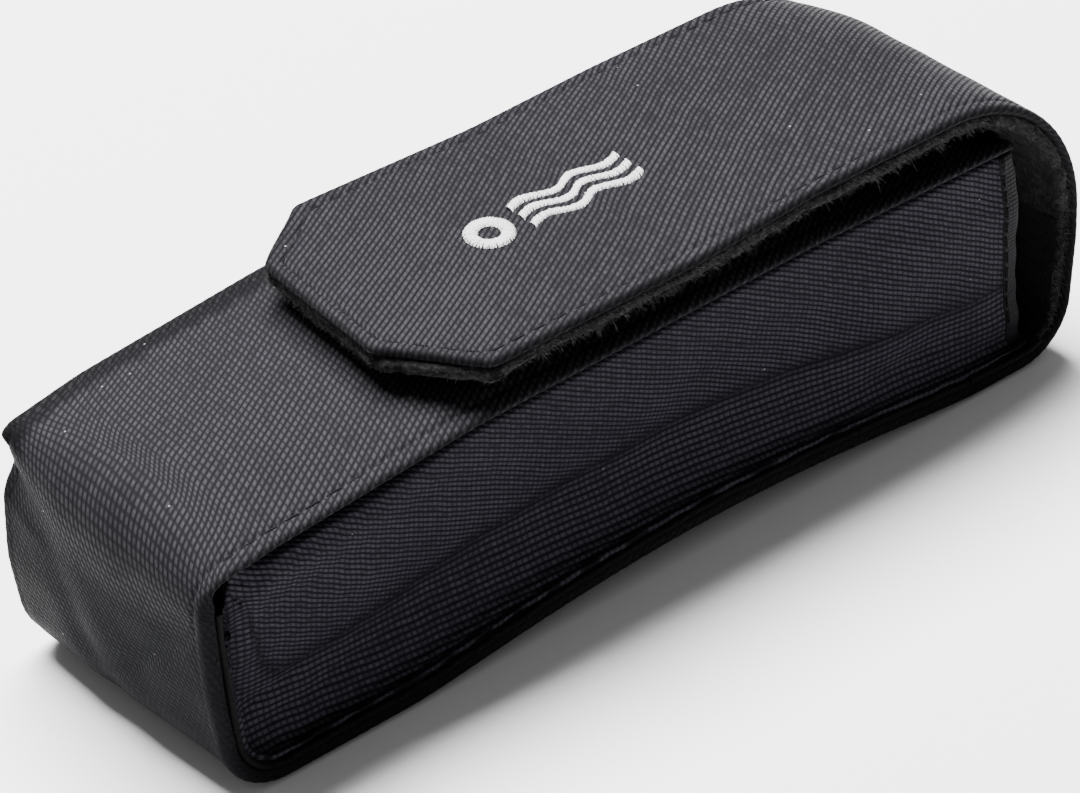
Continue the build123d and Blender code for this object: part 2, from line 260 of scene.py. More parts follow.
past_end = s_line > s_where(middle_line[:, 0] < END_X + 2)
S_FOLD = s_where(middle_line[:, 0] < END_X + 4)
S_BOTTOM = s_where(past_end & (middle_line[:, 1] < 2))
S_BACK_END = s_where(past_end & (middle_line[:, 0] > BACK_END_X))
S_BODY_END = s_where(past_end & (middle_line[:, 0] > BACK_END_X - 15))
S_RISER_MIDDLE = s_where((s_line > S_BACK_END) & (middle_line[:, 1] > RISER_MIDDLE_Z))
S_LID = s_where((s_line > S_RISER_MIDDLE) & (middle_line[:, 0] < FOLD_X))
S_TIP = STRIP_LENGTH


def tip_shift(s):
    """How far the lid's end lies to one side."""
    return 3.0 * ease((s - (S_TIP - 15)) / 15)


def strip_point(s, y, depth):
    """Places in space for s along the strip, y across it and depth in from its outer face."""
    s, y, depth = np.broadcast_arrays(s, y, depth)
    share = 1 - np.clip(np.abs(y) / HALF, 0, 1.05) ** 2.2
    far = ease(np.clip(y / HALF, -1, 1) / 2 + 0.5)
    ahead, behind = np.clip(s + 0.6, 0, S_TIP), np.clip(s - 0.6, 0, S_TIP)

    def at(where):
        return [
            (
                np.interp(where, s_line, edge_line[:, k]) * (1 - far)
                + np.interp(where, s_line, far_line[:, k]) * far
            )
            * (1 - share)
            + np.interp(where, s_line, middle_line[:, k]) * share
            for k in (0, 1)
        ]

    x, z = at(s)
    (x1, z1), (x0, z0) = at(ahead), at(behind)
    tx, tz = x1 - x0, z1 - z0
    length = np.maximum(np.hypot(tx, tz), 1e-6)
    corner = np.exp(-(((HALF - np.abs(y)) / 3.2) ** 2)) * np.where(y > 0, 1.0, 0.35)
    out = 0.45 * np.exp(-(((s - S_FOLD - 1.6) / 1.7) ** 2)) - 0.6 * np.exp(-(((s - S_FOLD - 6) / 2.0) ** 2))
    depth = depth - corner * out
    # the lid's end lies a little askew
    on_lid = s > S_LID
    skew = ease((10 - x) / 45) * on_lid
    shift = tip_shift(s) * on_lid
    askew = (0.08 * y + 0.02 * np.clip(y, 0, None)) * skew
    return np.stack([x - depth * tz / length + askew, y + shift, z + depth * tx / length], -1)


# Mesh helpers ------------------------------------------------------------------------------------
def mesh_from(name, verts, faces, uvs=None, smooth=True, attribute=None):
    """A mesh object from points in millimetres, faces as an array, and a uv for each face corner."""
    mesh = bpy.data.meshes.new(name)
    verts = np.asarray(verts, float).reshape(-1, 3) * MM
    faces = np.asarray(faces, np.int32)
    size = faces.shape[1]
    mesh.vertices.add(len(verts))
    mesh.vertices.foreach_set("co", verts.astype(np.float32).ravel())
    mesh.loops.add(faces.size)
    mesh.loops.foreach_set("vertex_index", faces.ravel())
    mesh.polygons.add(len(faces))
    mesh.polygons.foreach_set("loop_start", np.arange(0, faces.size, size, dtype=np.int32))
    mesh.polygons.foreach_set("loop_total", np.full(len(faces), size, np.int32))
    mesh.update(calc_edges=True)
    mesh.validate()
    if uvs is not None:
        layer = mesh.uv_layers.new(name="cloth")
        layer.data.foreach_set("uv", (np.asarray(uvs, float) * MM).astype(np.float32).ravel())
    if attribute is not None:
        made = mesh.attributes.new("edge", "FLOAT", "POINT")
        made.data.foreach_set("value", np.asarray(attribute, np.float32).ravel())
    if smooth:
        mesh.polygons.foreach_set("use_smooth", np.ones(len(mesh.polygons), bool))
    obj = bpy.data.objects.new(name, mesh)
    bpy.context.scene.collection.objects.link(obj)
    return obj


def grid_faces(rows, columns, first=0, flip=False, wrap=False):
    """Quads of a grid of points, as point numbers."""
    i = np.arange(rows - 1)[:, None]
    j = np.arange(columns - 1 if not wrap else columns)[None]
    k = (j + 1) % columns
    row, below = i * columns, (i + 1) * columns
    quads = np.stack([row + j + 0 * k, row + k, below + k, below + j], -1)
    quads = quads.reshape(-1, 4) + first
    return quads[:, ::-1] if flip else quads


def closed_panel(name, top, bottom, uv_top, uv_bottom, edge=None, cut_rows=(), flip=False):
    """A closed solid from two grids of points, its outer and its inner face.

    cut_rows are rows where the cloth runs on into another piece, so its shading stops sharply there.
    """
    if flip:
        top, bottom, uv_top, uv_bottom = (a[:, ::-1] for a in (top, bottom, uv_top, uv_bottom))
        edge = None if edge is None else edge[:, ::-1]
    rows, columns = top.shape[:2]
    count = rows * columns
    verts = np.concatenate([top.reshape(-1, 3), bottom.reshape(-1, 3)])
    uv = np.concatenate([uv_top.reshape(-1, 2), uv_bottom.reshape(-1, 2)])
    outer = grid_faces(rows, columns)
    inner = grid_faces(rows, columns, first=count, flip=True)
    ring = np.concatenate(
        [
            np.arange(columns),
            np.arange(1, rows) * columns + columns - 1,
            (rows - 1) * columns + np.arange(columns - 2, -1, -1),
            np.arange(rows - 2, 0, -1) * columns,
        ]
    )
    after = np.roll(ring, -1)
    rim = np.stack([ring, ring + count, after + count, after], -1)
    faces = np.concatenate([outer, inner, rim])
    # edge becomes the point attribute "edge": the share of darker weave, painted shade on most pieces and a
    # darker band on rolled edges
    dark_weave_share = np.zeros(2 * count) if edge is None else np.concatenate([edge.ravel(), edge.ravel()])
    obj = mesh_from(name, verts, faces, uv[faces.ravel()], attribute=dark_weave_share)
    if cut_rows:
        row_of = np.concatenate([np.repeat(np.arange(rows), columns)] * 2)
        ends = np.zeros(len(obj.data.edges) * 2, np.int32)
        obj.data.edges.foreach_get("vertices", ends)
        a, b = row_of[ends[::2]], row_of[ends[1::2]]
        sharp = (a == b) & np.isin(a, [r % rows for r in cut_rows])
        made = obj.data.attributes.new("sharp_edge", "BOOLEAN", "EDGE")
        made.data.foreach_set("value", sharp)
    return obj


def roll_at(s):
    """The rolled edge's radius: flat on the front, plump round the closed end and back, less on the flap."""
    onto_end = ease((s - S_FOLD + 1) / 6)
    onto_flap = ease((s - S_BACK_END - 2) / 16)
    return FRONT_ROLL + (BODY_ROLL - FRONT_ROLL) * onto_end + (ROLL - BODY_ROLL) * onto_flap


def edge_steps(roll, deep):
    """Distances in from a rolled edge at which a panel has points: close together on the roll."""
    roll = np.asarray(roll, float).reshape(-1, 1)
    turned = roll * (1 - np.cos(np.linspace(0, np.pi / 2, 7)))[None]
    near = roll + (4.6 - roll) * np.linspace(0.09, 1, 12)[None]
    return np.concatenate([turned, near, np.tile(np.linspace(4.9, deep, 3), (len(roll), 1))], 1)


def across_columns(half, steps, middle_columns):
    """y of each column for rows of a given half width."""
    half = np.asarray(half)[:, None]
    deep = steps[:, -1:]
    middle = np.linspace(-1, 1, middle_columns + 2)[None, 1:-1] * (half - deep)
    return np.concatenate([-(half - steps), middle, (half - steps)[:, ::-1]], 1)


def rolled_depths(e, roll, thin):
    """Depths of a panel's outer and inner face, and its run of cloth, at distance e in from its edge."""
    e = np.clip(e, 0, None)
    turned = np.sqrt(np.clip(roll**2 - (roll - np.clip(e, 0, roll)) ** 2, 0, None))
    outer = roll - turned
    inner = roll + turned
    hem = 1 - ease((e - 3.6) / 1.6)
    inner = np.where(e < roll, inner, 2 * roll * hem + thin * (1 - hem))
    arc = np.where(e < roll, roll * np.arccos(np.clip(1 - e / roll, -1, 1)), roll * (np.pi / 2 - 1) + e)
    return outer, inner, arc


def lid_half(s, inset=0.0):
    """Half the strip's width at s: full, and clipped at the lid's tip."""
    to_tip = S_TIP - inset - s
    return HALF - inset - np.clip(CHAMFER - to_tip - inset * (1 - CHAMFER_INSET), 0, None)


def lid_outline(inset):
    """s and y of the corners round the lid: up one side, round the clipped tip and back down."""
    half, tip = HALF - inset, S_TIP - inset
    corner = CHAMFER - inset * CHAMFER_INSET
    up = [(S_RISER_MIDDLE, -half), (tip - corner, -half), (tip, corner - half)]
    return np.array(up + [(s, -y) for s, y in reversed(up)])


def tip_distance(s, y, inset=0.0):
    """Distance in from the strip's edge, the clipped corners and the lid's tip, as one soft minimum."""
    side = HALF - inset - np.abs(y)
    clipped = (HALF - inset * CHAMFER_INSET - CHAMFER - np.abs(y) + (S_TIP - inset - s)) / math.sqrt(2)
    tip = S_TIP - inset - s
    stack = np.stack(np.broadcast_arrays(side, clipped, tip))
    low = stack.min(0)
    soft = 0.35
    return np.clip(low - soft * np.log(np.exp(-(stack - low) / soft).sum(0)), 0, None)


def rows_along(s_low, s_high, tip_steps=None):
    """Places of rows along the strip, close together at the lid's rolled tip."""
    s = np.arange(s_low, s_high, STEP)
    if tip_steps is None:
        return np.append(s, s_high)
    return np.concatenate([s[s < s_high - tip_steps[-1]], s_high - tip_steps[::-1]])


def edge_way(s, y, inset=0.0):
    """Which way is outward, in s and y, at the nearest of the side, the clipped corner and the tip."""
    side = HALF - inset - np.abs(y)
    clipped = (HALF - inset * CHAMFER_INSET - CHAMFER - np.abs(y) + (S_TIP - inset - s)) / math.sqrt(2)
    tip = S_TIP - inset - s
    power = np.exp(-np.stack([side, clipped, tip]) / 0.5)
    power /= power.sum(0)
    way_s = power[1] / math.sqrt(2) + power[2]
    way_y = np.sign(y) * (power[0] + power[1] / math.sqrt(2))
    return way_s, way_y


# Creases of the closed end: where along and across, slope, width, depth and length
END_CREASES = ((24, -12, 0.9, 2.6, 0.75, 15), (20, -19, 1.1, 1.8, 0.5, 12), (30, 8, -0.4, 4.0, 0.5, 18))


def outer_cloth(name, s_low, s_high, seed, with_tip=False):
    """The outer cloth between two places on the strip, with rolled edges and a sunk seam line."""
    tip_steps = edge_steps(ROLL, 7.0)[0] if with_tip else None
    s = rows_along(s_low, s_high, tip_steps)
    y = across_columns(lid_half(s), edge_steps(roll_at(s), 7.0), 23)
    ss = np.broadcast_to(s[:, None], y.shape)
    roll = roll_at(ss)
    e = tip_distance(ss, y) if with_tip else HALF - np.abs(y)
    outer, inner, arc = rolled_depths(e, roll, CLOTH)
    on_end = ease((ss - S_FOLD - 8) / 8) * (1 - ease((ss - S_BOTTOM + 6) / 8))
    # Painted shade where the front panel turns down into the closed end.
    bend_shade = np.exp(-(((ss - S_FOLD - 4) / 6) ** 2))
    seam = np.exp(-(((e - STITCH_INSET) / 0.42) ** 2))
    hole = 0.5 + 0.5 * np.cos(2 * np.pi * ss / STITCH_PITCH)
    hem = ease((e - roll * 0.4) / 0.8) * (1 - ease((e - STITCH_INSET) / 0.5))
    on_front = 1 - ease((ss - S_FOLD - 2) / 4)
    ragged = 0.5 * waves(ss, y * 0, 3.7, seed + 3)
    far_hem = on_front * (y > 0) * (1 - ease((e - 5.0 - ragged) / 1.6)) * ease(e / 1.5)
    swell = waves(ss, y, 42, seed) * 0.24 + waves(ss, y, 17, seed + 1) * 0.09
    for at_s, at_y, slope, wide, deep, run in END_CREASES:
        line = (y - at_y) - slope * (ss - S_FOLD - at_s)
        fade = np.exp(-(((ss - S_FOLD - at_s) / run) ** 2))
        swell = swell + on_end * deep * np.exp(-((line / wide) ** 2)) * fade
    scallop = np.sin(np.pi * ss / FLOAT_LONG) * 0.03 * (e < 1.6)
    flat_seam = on_end * 0.7
    outer = outer + seam * (0.30 + 0.16 * hole) * (1 - flat_seam) - 0.10 * hem
    outer = outer + swell * ease(e / 6) + scallop - 0.45 * far_hem
    inner = inner + swell * ease(e / 6)
    way_s, way_y = edge_way(ss, y) if with_tip else (0 * y, np.sign(y))
    straight = y + tip_shift(ss)
    spare = roll * (np.pi / 2 - 1)
    past = np.where(e < roll, spare - (arc - e), 0)
    behind = e + spare + arc
    rim = np.exp(-((e / (roll * 1.25)) ** 4)) * np.where(with_tip, 0.72, 0.45 + 0.5 * (1 - on_front))
    return closed_panel(
        name,
        strip_point(ss, y, outer),
        strip_point(ss, y, inner),
        np.stack([ss + way_s * past, straight + way_y * past], -1),
        np.stack([ss + way_s * behind, straight + way_y * behind], -1),
        # Painted shade over the whole closed end and on the bend into it; a darker band on the rolled edges,
        # most on the body's, and along the far hem.
        edge=np.clip(rim + 0.78 * on_end + 0.3 * bend_shade + 0.78 * far_hem, 0, 1),
        cut_rows=(0,) if with_tip else (0, -1),
    )


def pile_lining(name, s_low, s_high, half_of, seed, with_tip=False):
    """The brushed lining between two places on the strip: a soft edge with an uneven nap."""
    high = PADDING + 0.1
    tip_steps = edge_steps((high - 2 * ROLL - 0.05) / 2, 8.0)[0] if with_tip else None
    s = rows_along(s_low, s_high - (0.4 if with_tip else 0), tip_steps)
    half = half_of(s)
    y = across_columns(half, edge_steps((high - 2 * roll_at(s) - 0.05) / 2, 8.0), 9)
    ss = np.broadcast_to(s[:, None], y.shape)
    low = 2 * roll_at(ss) + 0.05
    roll = (high - low) / 2
    e = tip_distance(ss, y, inset=0.4) if with_tip else np.broadcast_to(half[:, None], y.shape) - np.abs(y)
    turned = np.sqrt(np.clip(roll**2 - (roll - np.clip(e, 0, roll)) ** 2, 0, None))
    r = np.random.default_rng(seed)
    shaggy = ease((ss - S_BACK_END - 4) / 10)
    nap = (r.normal(0, 0.10, y.shape) * (e < 4) + 0.10 * waves(ss, y * 3, 2.4, seed)) * (0.3 + 0.7 * shaggy)
    ragged = r.normal(0, 0.14, y.shape) + 0.22 * waves(ss, y * 0, 3.1, seed + 5)
    ragged = ragged + 0.2 * waves(ss, y * 0, 9.0, seed + 6)
    fray = ragged * np.exp(-e) * (0.15 + 0.85 * shaggy)
    outer = low + roll - turned + np.clip(PADDING - 0.9 - low, 0, None) * ease((e - 3.4) / 1.4)
    inner = low + roll + turned + nap * (e > roll * 0.2)
    way_s, way_y = edge_way(ss, y, 0.4) if with_tip else (0 * y, np.sign(y))
    sag = 0.5 * shaggy * np.exp(-e / 1.5) * (0.5 + 0.5 * waves(ss, y, 14, seed + 7))
    by_corner = np.exp(-(((ss - S_TIP + 6) ** 2 + (y + 24) ** 2) / 11.0**2))
    spill = 2.3 * np.exp(-e / 2.2) * by_corner * (0.85 + 0.3 * waves(ss, y, 5.0, seed + 9))
    fray = fray + spill
    s2, y2 = ss + way_s * fray, y + way_y * fray
    return closed_panel(
        name,
        strip_point(s2, y2, outer + sag * 0.3),
        strip_point(s2, y2, inner + sag),
        np.stack([ss, y], -1),
        np.stack([ss, y + 90], -1),
        cut_rows=(0,) if with_tip else (0, -1),
    )


def nap_fibres(name, line_s, line_y, per_mm, seed):
    """Loose fibres standing out of the lining's cut edge, each a thin three-sided spike."""
    r = np.random.default_rng(seed)
    run = np.concatenate([[0], np.cumsum(np.hypot(np.diff(line_s), np.diff(line_y)))])
    count = int(run[-1] * per_mm)
    at = r.uniform(0, run[-1], count)
    s, y = np.interp(at, run, line_s), np.interp(at, run, line_y)
    ds = np.interp(at + 0.3, run, line_s) - np.interp(at - 0.3, run, line_s)
    dy = np.interp(at + 0.3, run, line_y) - np.interp(at - 0.3, run, line_y)
    length = np.maximum(np.hypot(ds, dy), 1e-6)
    out_s, out_y = -dy / length, ds / length
    facing = np.sign(out_y * y + out_s * (s - line_s.mean()) * 0.02)
    out_s, out_y = out_s * facing, out_y * facing
    clump = 0.75 + 0.45 * waves(at, at * 0, 2.6, seed + 1) + 0.3 * waves(at, at * 0, 8.0, seed + 2)
    clump = np.clip(clump, 0.25, 1.8)
    reach = np.minimum(r.gamma(3.0, 0.24, count) * clump, 1.7)
    depth = r.uniform(2 * ROLL + 0.3, PADDING + 0.3, count)
    lean_s, lean_d = r.normal(0, 0.45, count), r.normal(0.45, 0.5, count)
    base = strip_point(s - out_s * 0.5, y - out_y * 0.5, depth)
    tip = strip_point(s + out_s * reach + lean_s * reach, y + out_y * reach, depth + lean_d * reach)
    thick = r.uniform(0.035, 0.06, count)[:, None]
    axis = tip - base
    a = np.cross(axis, r.normal(0, 1, (count, 3)))
    a /= np.maximum(np.linalg.norm(a, axis=1, keepdims=True), 1e-9)
    b = np.cross(axis, a)
    b /= np.maximum(np.linalg.norm(b, axis=1, keepdims=True), 1e-9)
    corners = [base + thick * (math.cos(w) * a + math.sin(w) * b) for w in (0, 2.094, 4.189)]
    verts = np.stack([*corners, tip], 1).reshape(-1, 3)
    k = np.arange(count)[:, None] * 4
    faces = np.concatenate([k + np.array([f]) for f in ((0, 2, 1), (0, 1, 3), (1, 2, 3), (2, 0, 3))])
    return mesh_from(name, verts, faces, np.zeros((faces.size, 2)), smooth=False)


def stitches(name, points, normals, thick=0.55, length=STITCH_LENGTH, pitch=STITCH_PITCH, lift=0.12):
    """Single sewn stitches along a line of points: short, round-ended lengths of twisted thread."""
    points, normals = np.asarray(points, float), np.asarray(normals, float)
    at = distances(points)
    centres = np.arange(pitch / 2, at[-1] - pitch / 2, pitch)
    ring = 8
    stations = np.linspace(-1, 1, 11)
    angle = np.linspace(0, 2 * np.pi, ring, endpoint=False)
    all_verts, all_faces, all_uv = [], [], []
    for number, centre in enumerate(centres):
        w = stations * length / 2 + centre + rng.normal(0, 0.08)
        p = np.stack([np.interp(w, at, points[:, k]) for k in range(3)], 1)
        n = np.stack([np.interp(w, at, normals[:, k]) for k in range(3)], 1)
        n /= np.linalg.norm(n, axis=1, keepdims=True)
        t = np.gradient(p, axis=0)
        t /= np.linalg.norm(t, axis=1, keepdims=True)
        b = np.cross(t, n)
        round_end = np.sqrt(np.clip(1 - np.abs(stations) ** 6, 0.02, 1))
        arch = (1 - stations**2) ** 0.5 * lift * 2 - lift
        radius = thick / 2 * round_end
        ring_points = (
            p[:, None]
            + n[:, None] * (arch[:, None, None] + np.sin(angle)[None, :, None] * radius[:, None, None] * 0.8)
            + b[:, None] * np.cos(angle)[None, :, None] * radius[:, None, None]
        )
        first = number * len(stations) * ring
        faces = grid_faces(len(stations), ring, first=first, wrap=True)
        all_verts.append(ring_points.reshape(-1, 3))
        all_faces.append(faces)
        u = np.broadcast_to(w[:, None], (len(stations), ring))
        v = np.broadcast_to(angle[None] * thick / 2, (len(stations), ring))
        all_uv.append(np.stack([u, v], -1).reshape(-1, 2)[faces.ravel() - first])
    return mesh_from(name, np.concatenate(all_verts), np.concatenate(all_faces), np.concatenate(all_uv))


def swept(name, centres, across, up, half_wide, half_high, sides=16, power=3.0, wave=0.0):
    """A soft flat bar: a rounded section swept along centres, with the section's two directions."""
    centres, across, up = (np.asarray(a, float) for a in (centres, across, up))
    angle = np.linspace(0, 2 * np.pi, sides, endpoint=False)
    c, s = np.cos(angle), np.sin(angle)
    a = np.sign(c) * np.abs(c) ** (2 / power) * np.asarray(half_wide, float).reshape(-1, 1)
    b = np.sign(s) * np.abs(s) ** (2 / power) * np.asarray(half_high, float).reshape(-1, 1)
    at = distances(centres)
    if wave:
        a = a + (waves(at, at * 0, 5.0, 3) * wave)[:, None] * (a > 0)
    ring = centres[:, None] + across[:, None] * a[..., None] + up[:, None] * b[..., None]
    round_girth = np.linspace(0, 2 * (np.mean(half_wide) * 2 + np.mean(half_high) * 2), sides, endpoint=False)
    verts = ring.reshape(-1, 3)
    faces = grid_faces(len(centres), sides, wrap=True)
    uv = np.stack(np.broadcast_arrays(at[:, None], round_girth[None]), -1).reshape(-1, 2)
    first, last = len(verts), len(verts) + 1
    verts = np.concatenate([verts, centres[:1], centres[-1:]])
    uv = np.concatenate([uv, uv[:1], uv[-1:]])
    k = np.arange(sides)
    n = (k + 1) % sides
    row = (len(centres) - 1) * sides
    cap_a = np.stack([k, n, np.full(sides, first), np.full(sides, first)], -1)[:, ::-1]
    cap_b = np.stack([row + k, row + n, np.full(sides, last), np.full(sides, last)], -1)
    quads = [list(map(int, f)) for f in faces]
    tris = [[int(f[0]), int(f[1]), int(f[2])] for f in np.concatenate([cap_a[:, [1, 2, 3]], cap_b[:, :3]])]
    mesh = bpy.data.meshes.new(name)
    mesh.from_pydata((verts * MM).tolist(), [], quads + tris)
    layer = mesh.uv_layers.new(name="cloth")
    order = np.zeros(len(mesh.loops), np.int32)
    mesh.loops.foreach_get("vertex_index", order)
    layer.data.foreach_set("uv", (uv[order] * MM).astype(np.float32).ravel())
    mesh.polygons.foreach_set("use_smooth", np.ones(len(mesh.polygons), bool))
    obj = bpy.data.objects.new(name, mesh)
    bpy.context.scene.collection.objects.link(obj)
    return outward(obj)


def outward(obj):
    """Turns a closed mesh's faces to point out of it."""
    b = bmesh.new()
    b.from_mesh(obj.data)
    bmesh.ops.recalc_face_normals(b, faces=b.faces)
    b.to_mesh(obj.data)
    b.free()
    return obj


def joined(name, parts):
    """Several meshes of mesh_from put into one."""
    first = parts[0]
    with bpy.context.temp_override(
        active_object=first, selected_editable_objects=parts, selected_objects=parts
    ):
        bpy.ops.object.join()
    first.name = name
    return first


# Materials ---------------------------------------------------------------------------------------
class Shader:
    """A material's node tree, with short ways to add to it."""

    def __init__(self, name):
        self.material = bpy.data.materials.new(name)
        self.material.use_nodes = True
        self.tree = self.material.node_tree
        self.tree.nodes.clear()
        self.out = self.tree.nodes.new("ShaderNodeOutputMaterial")
        self.surface = self.tree.nodes.new("ShaderNodeBsdfPrincipled")
        self.tree.links.new(self.surface.outputs["BSDF"], self.out.inputs["Surface"])

    def put(self, node, key, value):
        if isinstance(value, bpy.types.NodeSocket):
            self.tree.links.new(value, node.inputs[key])
        elif value is not None:
            node.inputs[key].default_value = value

    def math(self, operation, a, b=None, clamp=False):
        node = self.tree.nodes.new("ShaderNodeMath")
        node.operation, node.use_clamp = operation, clamp
        self.put(node, 0, a)
        self.put(node, 1, b)
        return node.outputs[0]

    def times(self, a, b, clamp=False):
        return self.math("MULTIPLY", a, b, clamp)

    def plus(self, a, b):
        return self.math("ADD", a, b)

    def less(self, a, b):
        return self.math("SUBTRACT", a, b)

    def half_wave(self, operation, angle):
        """A sine or cosine brought to run from 0 to 1."""
        return self.plus(self.times(self.math(operation, angle), 0.5), 0.5)

    def scaled(self, value, low, high, to_low=0.0, to_high=1.0):
        node = self.tree.nodes.new("ShaderNodeMapRange")
        node.interpolation_type = "SMOOTHSTEP"
        keys = ("Value", "From Min", "From Max", "To Min", "To Max")
        for key, v in zip(keys, (value, low, high, to_low, to_high)):
            self.put(node, key, v)
        return node.outputs[0]

    def mix(self, share, a, b):
        node = self.tree.nodes.new("ShaderNodeMix")
        node.data_type = "RGBA"
        self.put(node, 0, share)
        self.put(node, 6, a if isinstance(a, bpy.types.NodeSocket) else (*a, 1))
        self.put(node, 7, b if isinstance(b, bpy.types.NodeSocket) else (*b, 1))
        return node.outputs[2]

    def uv(self):
        node = self.tree.nodes.new("ShaderNodeUVMap")
        node.uv_map = "cloth"
        split = self.tree.nodes.new("ShaderNodeSeparateXYZ")
        self.tree.links.new(node.outputs[0], split.inputs[0])
        return split.outputs[0], split.outputs[1]

    def place(self):
        return self.tree.nodes.new("ShaderNodeTexCoord").outputs["Object"]

    def vector(self, x, y, z=0.0):
        node = self.tree.nodes.new("ShaderNodeCombineXYZ")
        for i, value in enumerate((x, y, z)):
            self.put(node, i, value)
        return node.outputs[0]

    def noise(self, where, scale, detail=3.0, roughness=0.55):
        node = self.tree.nodes.new("ShaderNodeTexNoise")
        self.put(node, "Vector", where)
        for key, value in (("Scale", scale), ("Detail", detail), ("Roughness", roughness)):
            node.inputs[key].default_value = value
        return node.outputs[0]

    def white(self, value):
        node = self.tree.nodes.new("ShaderNodeTexWhiteNoise")
        node.noise_dimensions = "1D"
        self.put(node, "W", value)
        return node.outputs[0]

    def cells(self, where, scale):
        node = self.tree.nodes.new("ShaderNodeTexVoronoi")
        self.put(node, "Vector", where)
        node.inputs["Scale"].default_value = scale
        return node.outputs

    def attribute(self, name):
        node = self.tree.nodes.new("ShaderNodeAttribute")
        node.attribute_name = name
        return node.outputs["Fac"]

    def bump(self, height, distance):
        node = self.tree.nodes.new("ShaderNodeBump")
        node.inputs["Strength"].default_value = 1.0
        node.inputs["Distance"].default_value = distance
        self.put(node, "Height", height)
        return node.outputs[0]

    def finish(self, colour, roughness, normal=None, **constants):
        self.put(self.surface, "Base Color", colour)
        self.put(self.surface, "Roughness", roughness)
        self.put(self.surface, "Normal", normal)
        for key, value in constants.items():
            self.surface.inputs[key.replace("_", " ")].default_value = value
        return self.material


def woven(name, dark, mid, light, turned=1, lint=0.35, beads=0.5, fine=1.0, depth=0.00013):
    """Plain-woven nylon. Its floats lie in slanted ridges, each a row of beads."""
    m = Shader(name)
    u, v = m.uv()
    where = m.place()
    sway_u = m.times(m.less(m.noise(where, 120, 1.0), 0.5), 0.0004)
    sway_v = m.times(m.less(m.noise(where, 26, 1.0), 0.5), 0.0012)
    u2, v2 = m.plus(u, sway_u), m.plus(v, sway_v)

    def lattice(a, b):
        return m.plus(m.times(u2, fine * a * turned / MM), m.times(v2, fine * b / MM))

    p, q = lattice(0.8104, -0.0492), lattice(0.4666, -0.7859)
    cp = m.half_wave("COSINE", m.times(p, 2 * math.pi))
    cq = m.half_wave("COSINE", m.times(q, 2 * math.pi))
    row = m.math("ROUND", q)
    bead = m.math("ROUND", p)
    ridge = m.scaled(cq, 0.04, 0.72)
    gap = m.scaled(cp, 0.0, 0.62, 1.0 - beads, 1.0)
    fibre = m.noise(m.vector(m.times(u2, 700), m.times(v2, 9000)), 1.0, 3.0, 0.7)
    cell = m.white(m.plus(m.times(row, 57.31), bead))
    yarn = m.times(m.white(row), 0.16)
    tone = m.plus(m.plus(0.62, yarn), m.times(cell, 0.34))
    tone = m.times(tone, m.scaled(m.noise(where, 24, 3.0), 0.3, 0.7, 0.84, 1.16))
    tone = m.times(tone, m.scaled(m.noise(where, 900, 2.0), 0.3, 0.7, 0.8, 1.2))
    share = m.times(m.times(ridge, gap), m.times(tone, m.scaled(fibre, 0.3, 0.7, 0.8, 1.15)), clamp=True)
    low_share = m.scaled(share, 0.0, 0.45)
    high_share = m.scaled(share, 0.35, 1.0)
    colour = m.mix(high_share, m.mix(low_share, dark, mid), light)
    # The point attribute "edge" mixes in a darker, fuzzier copy of the weave and flattens its bumps. It is
    # painted shade on the closed end, the bend into it, and the gusset's crease and slit; on rolled edges and
    # the far hem it is a darker band.
    edge = m.attribute("edge")
    fuzz = m.noise(where, 3200, 3.0, 0.7)
    painted_shade_and_dark_edges = m.mix(m.scaled(fuzz, 0.35, 0.7), tuple(0.3 * c for c in dark), tuple(0.36 * c for c in mid))
    colour = m.mix(m.times(edge, 0.92), colour, painted_shade_and_dark_edges)
    spots = m.cells(where, 260)
    rare = m.math("GREATER_THAN", m.white(m.noise(spots[2], 3.0, 0.0)), 0.9)
    speck = m.times(m.math("LESS_THAN", spots[0], 0.055), rare)
    colour = m.mix(m.times(speck, lint), colour, (0.5, 0.5, 0.52))
    height = m.times(m.math("POWER", cq, 0.6), m.plus(0.45, m.times(m.math("POWER", cp, 0.6), 0.55)))
    height = m.plus(height, m.times(fibre, 0.12))
    height = m.plus(height, m.times(cell, 0.16))
    height = m.plus(m.times(height, m.less(1.0, m.times(edge, 0.8))), m.times(m.noise(where, 600, 2.0), 0.6))
    rough = m.less(0.62, m.times(share, 0.2))
    return m.finish(colour, rough, m.bump(height, depth), Specular_IOR_Level=0.012)


def piled(name, dark, light, scale=2600, depth=0.0004, sheen=0.25, rough=0.95):
    """Brushed pile: short fibres in tufts, with darker gaps."""
    m = Shader(name)
    where = m.place()
    tufts = m.noise(where, scale * 0.35, 3.0, 0.6)
    fibres = m.noise(where, scale, 4.0, 0.75)
    both = m.plus(m.times(tufts, 0.5), m.times(fibres, 0.5))
    colour = m.mix(m.scaled(both, 0.42, 0.78), dark, light)
    return m.finish(
        colour, rough, m.bump(both, depth), Specular_IOR_Level=0.12, Sheen_Weight=sheen, Sheen_Roughness=0.6,
        Sheen_Tint=(0.6, 0.65, 0.6, 1),
    )


def twisted(name, dark, light, pitch=0.55, rough=0.5, sheen=0.1, shine=0.35):
    """Twisted thread: plies winding round it."""
    m = Shader(name)
    u, v = m.uv()
    turn = m.plus(m.times(u, 2 * math.pi / (pitch * MM)), m.times(v, 2 * math.pi / (1.2 * MM)))
    ply = m.plus(m.times(m.math("SINE", turn), 0.5), 0.5)
    hair = m.noise(m.place(), 5200, 2.0, 0.6)
    colour = m.mix(m.times(ply, m.scaled(hair, 0.3, 0.7, 0.6, 1.1), clamp=True), dark, light)
    relief = m.bump(m.plus(ply, m.times(hair, 0.4)), 0.00009)
    return m.finish(colour, rough, relief, Specular_IOR_Level=shine, Sheen_Weight=sheen)


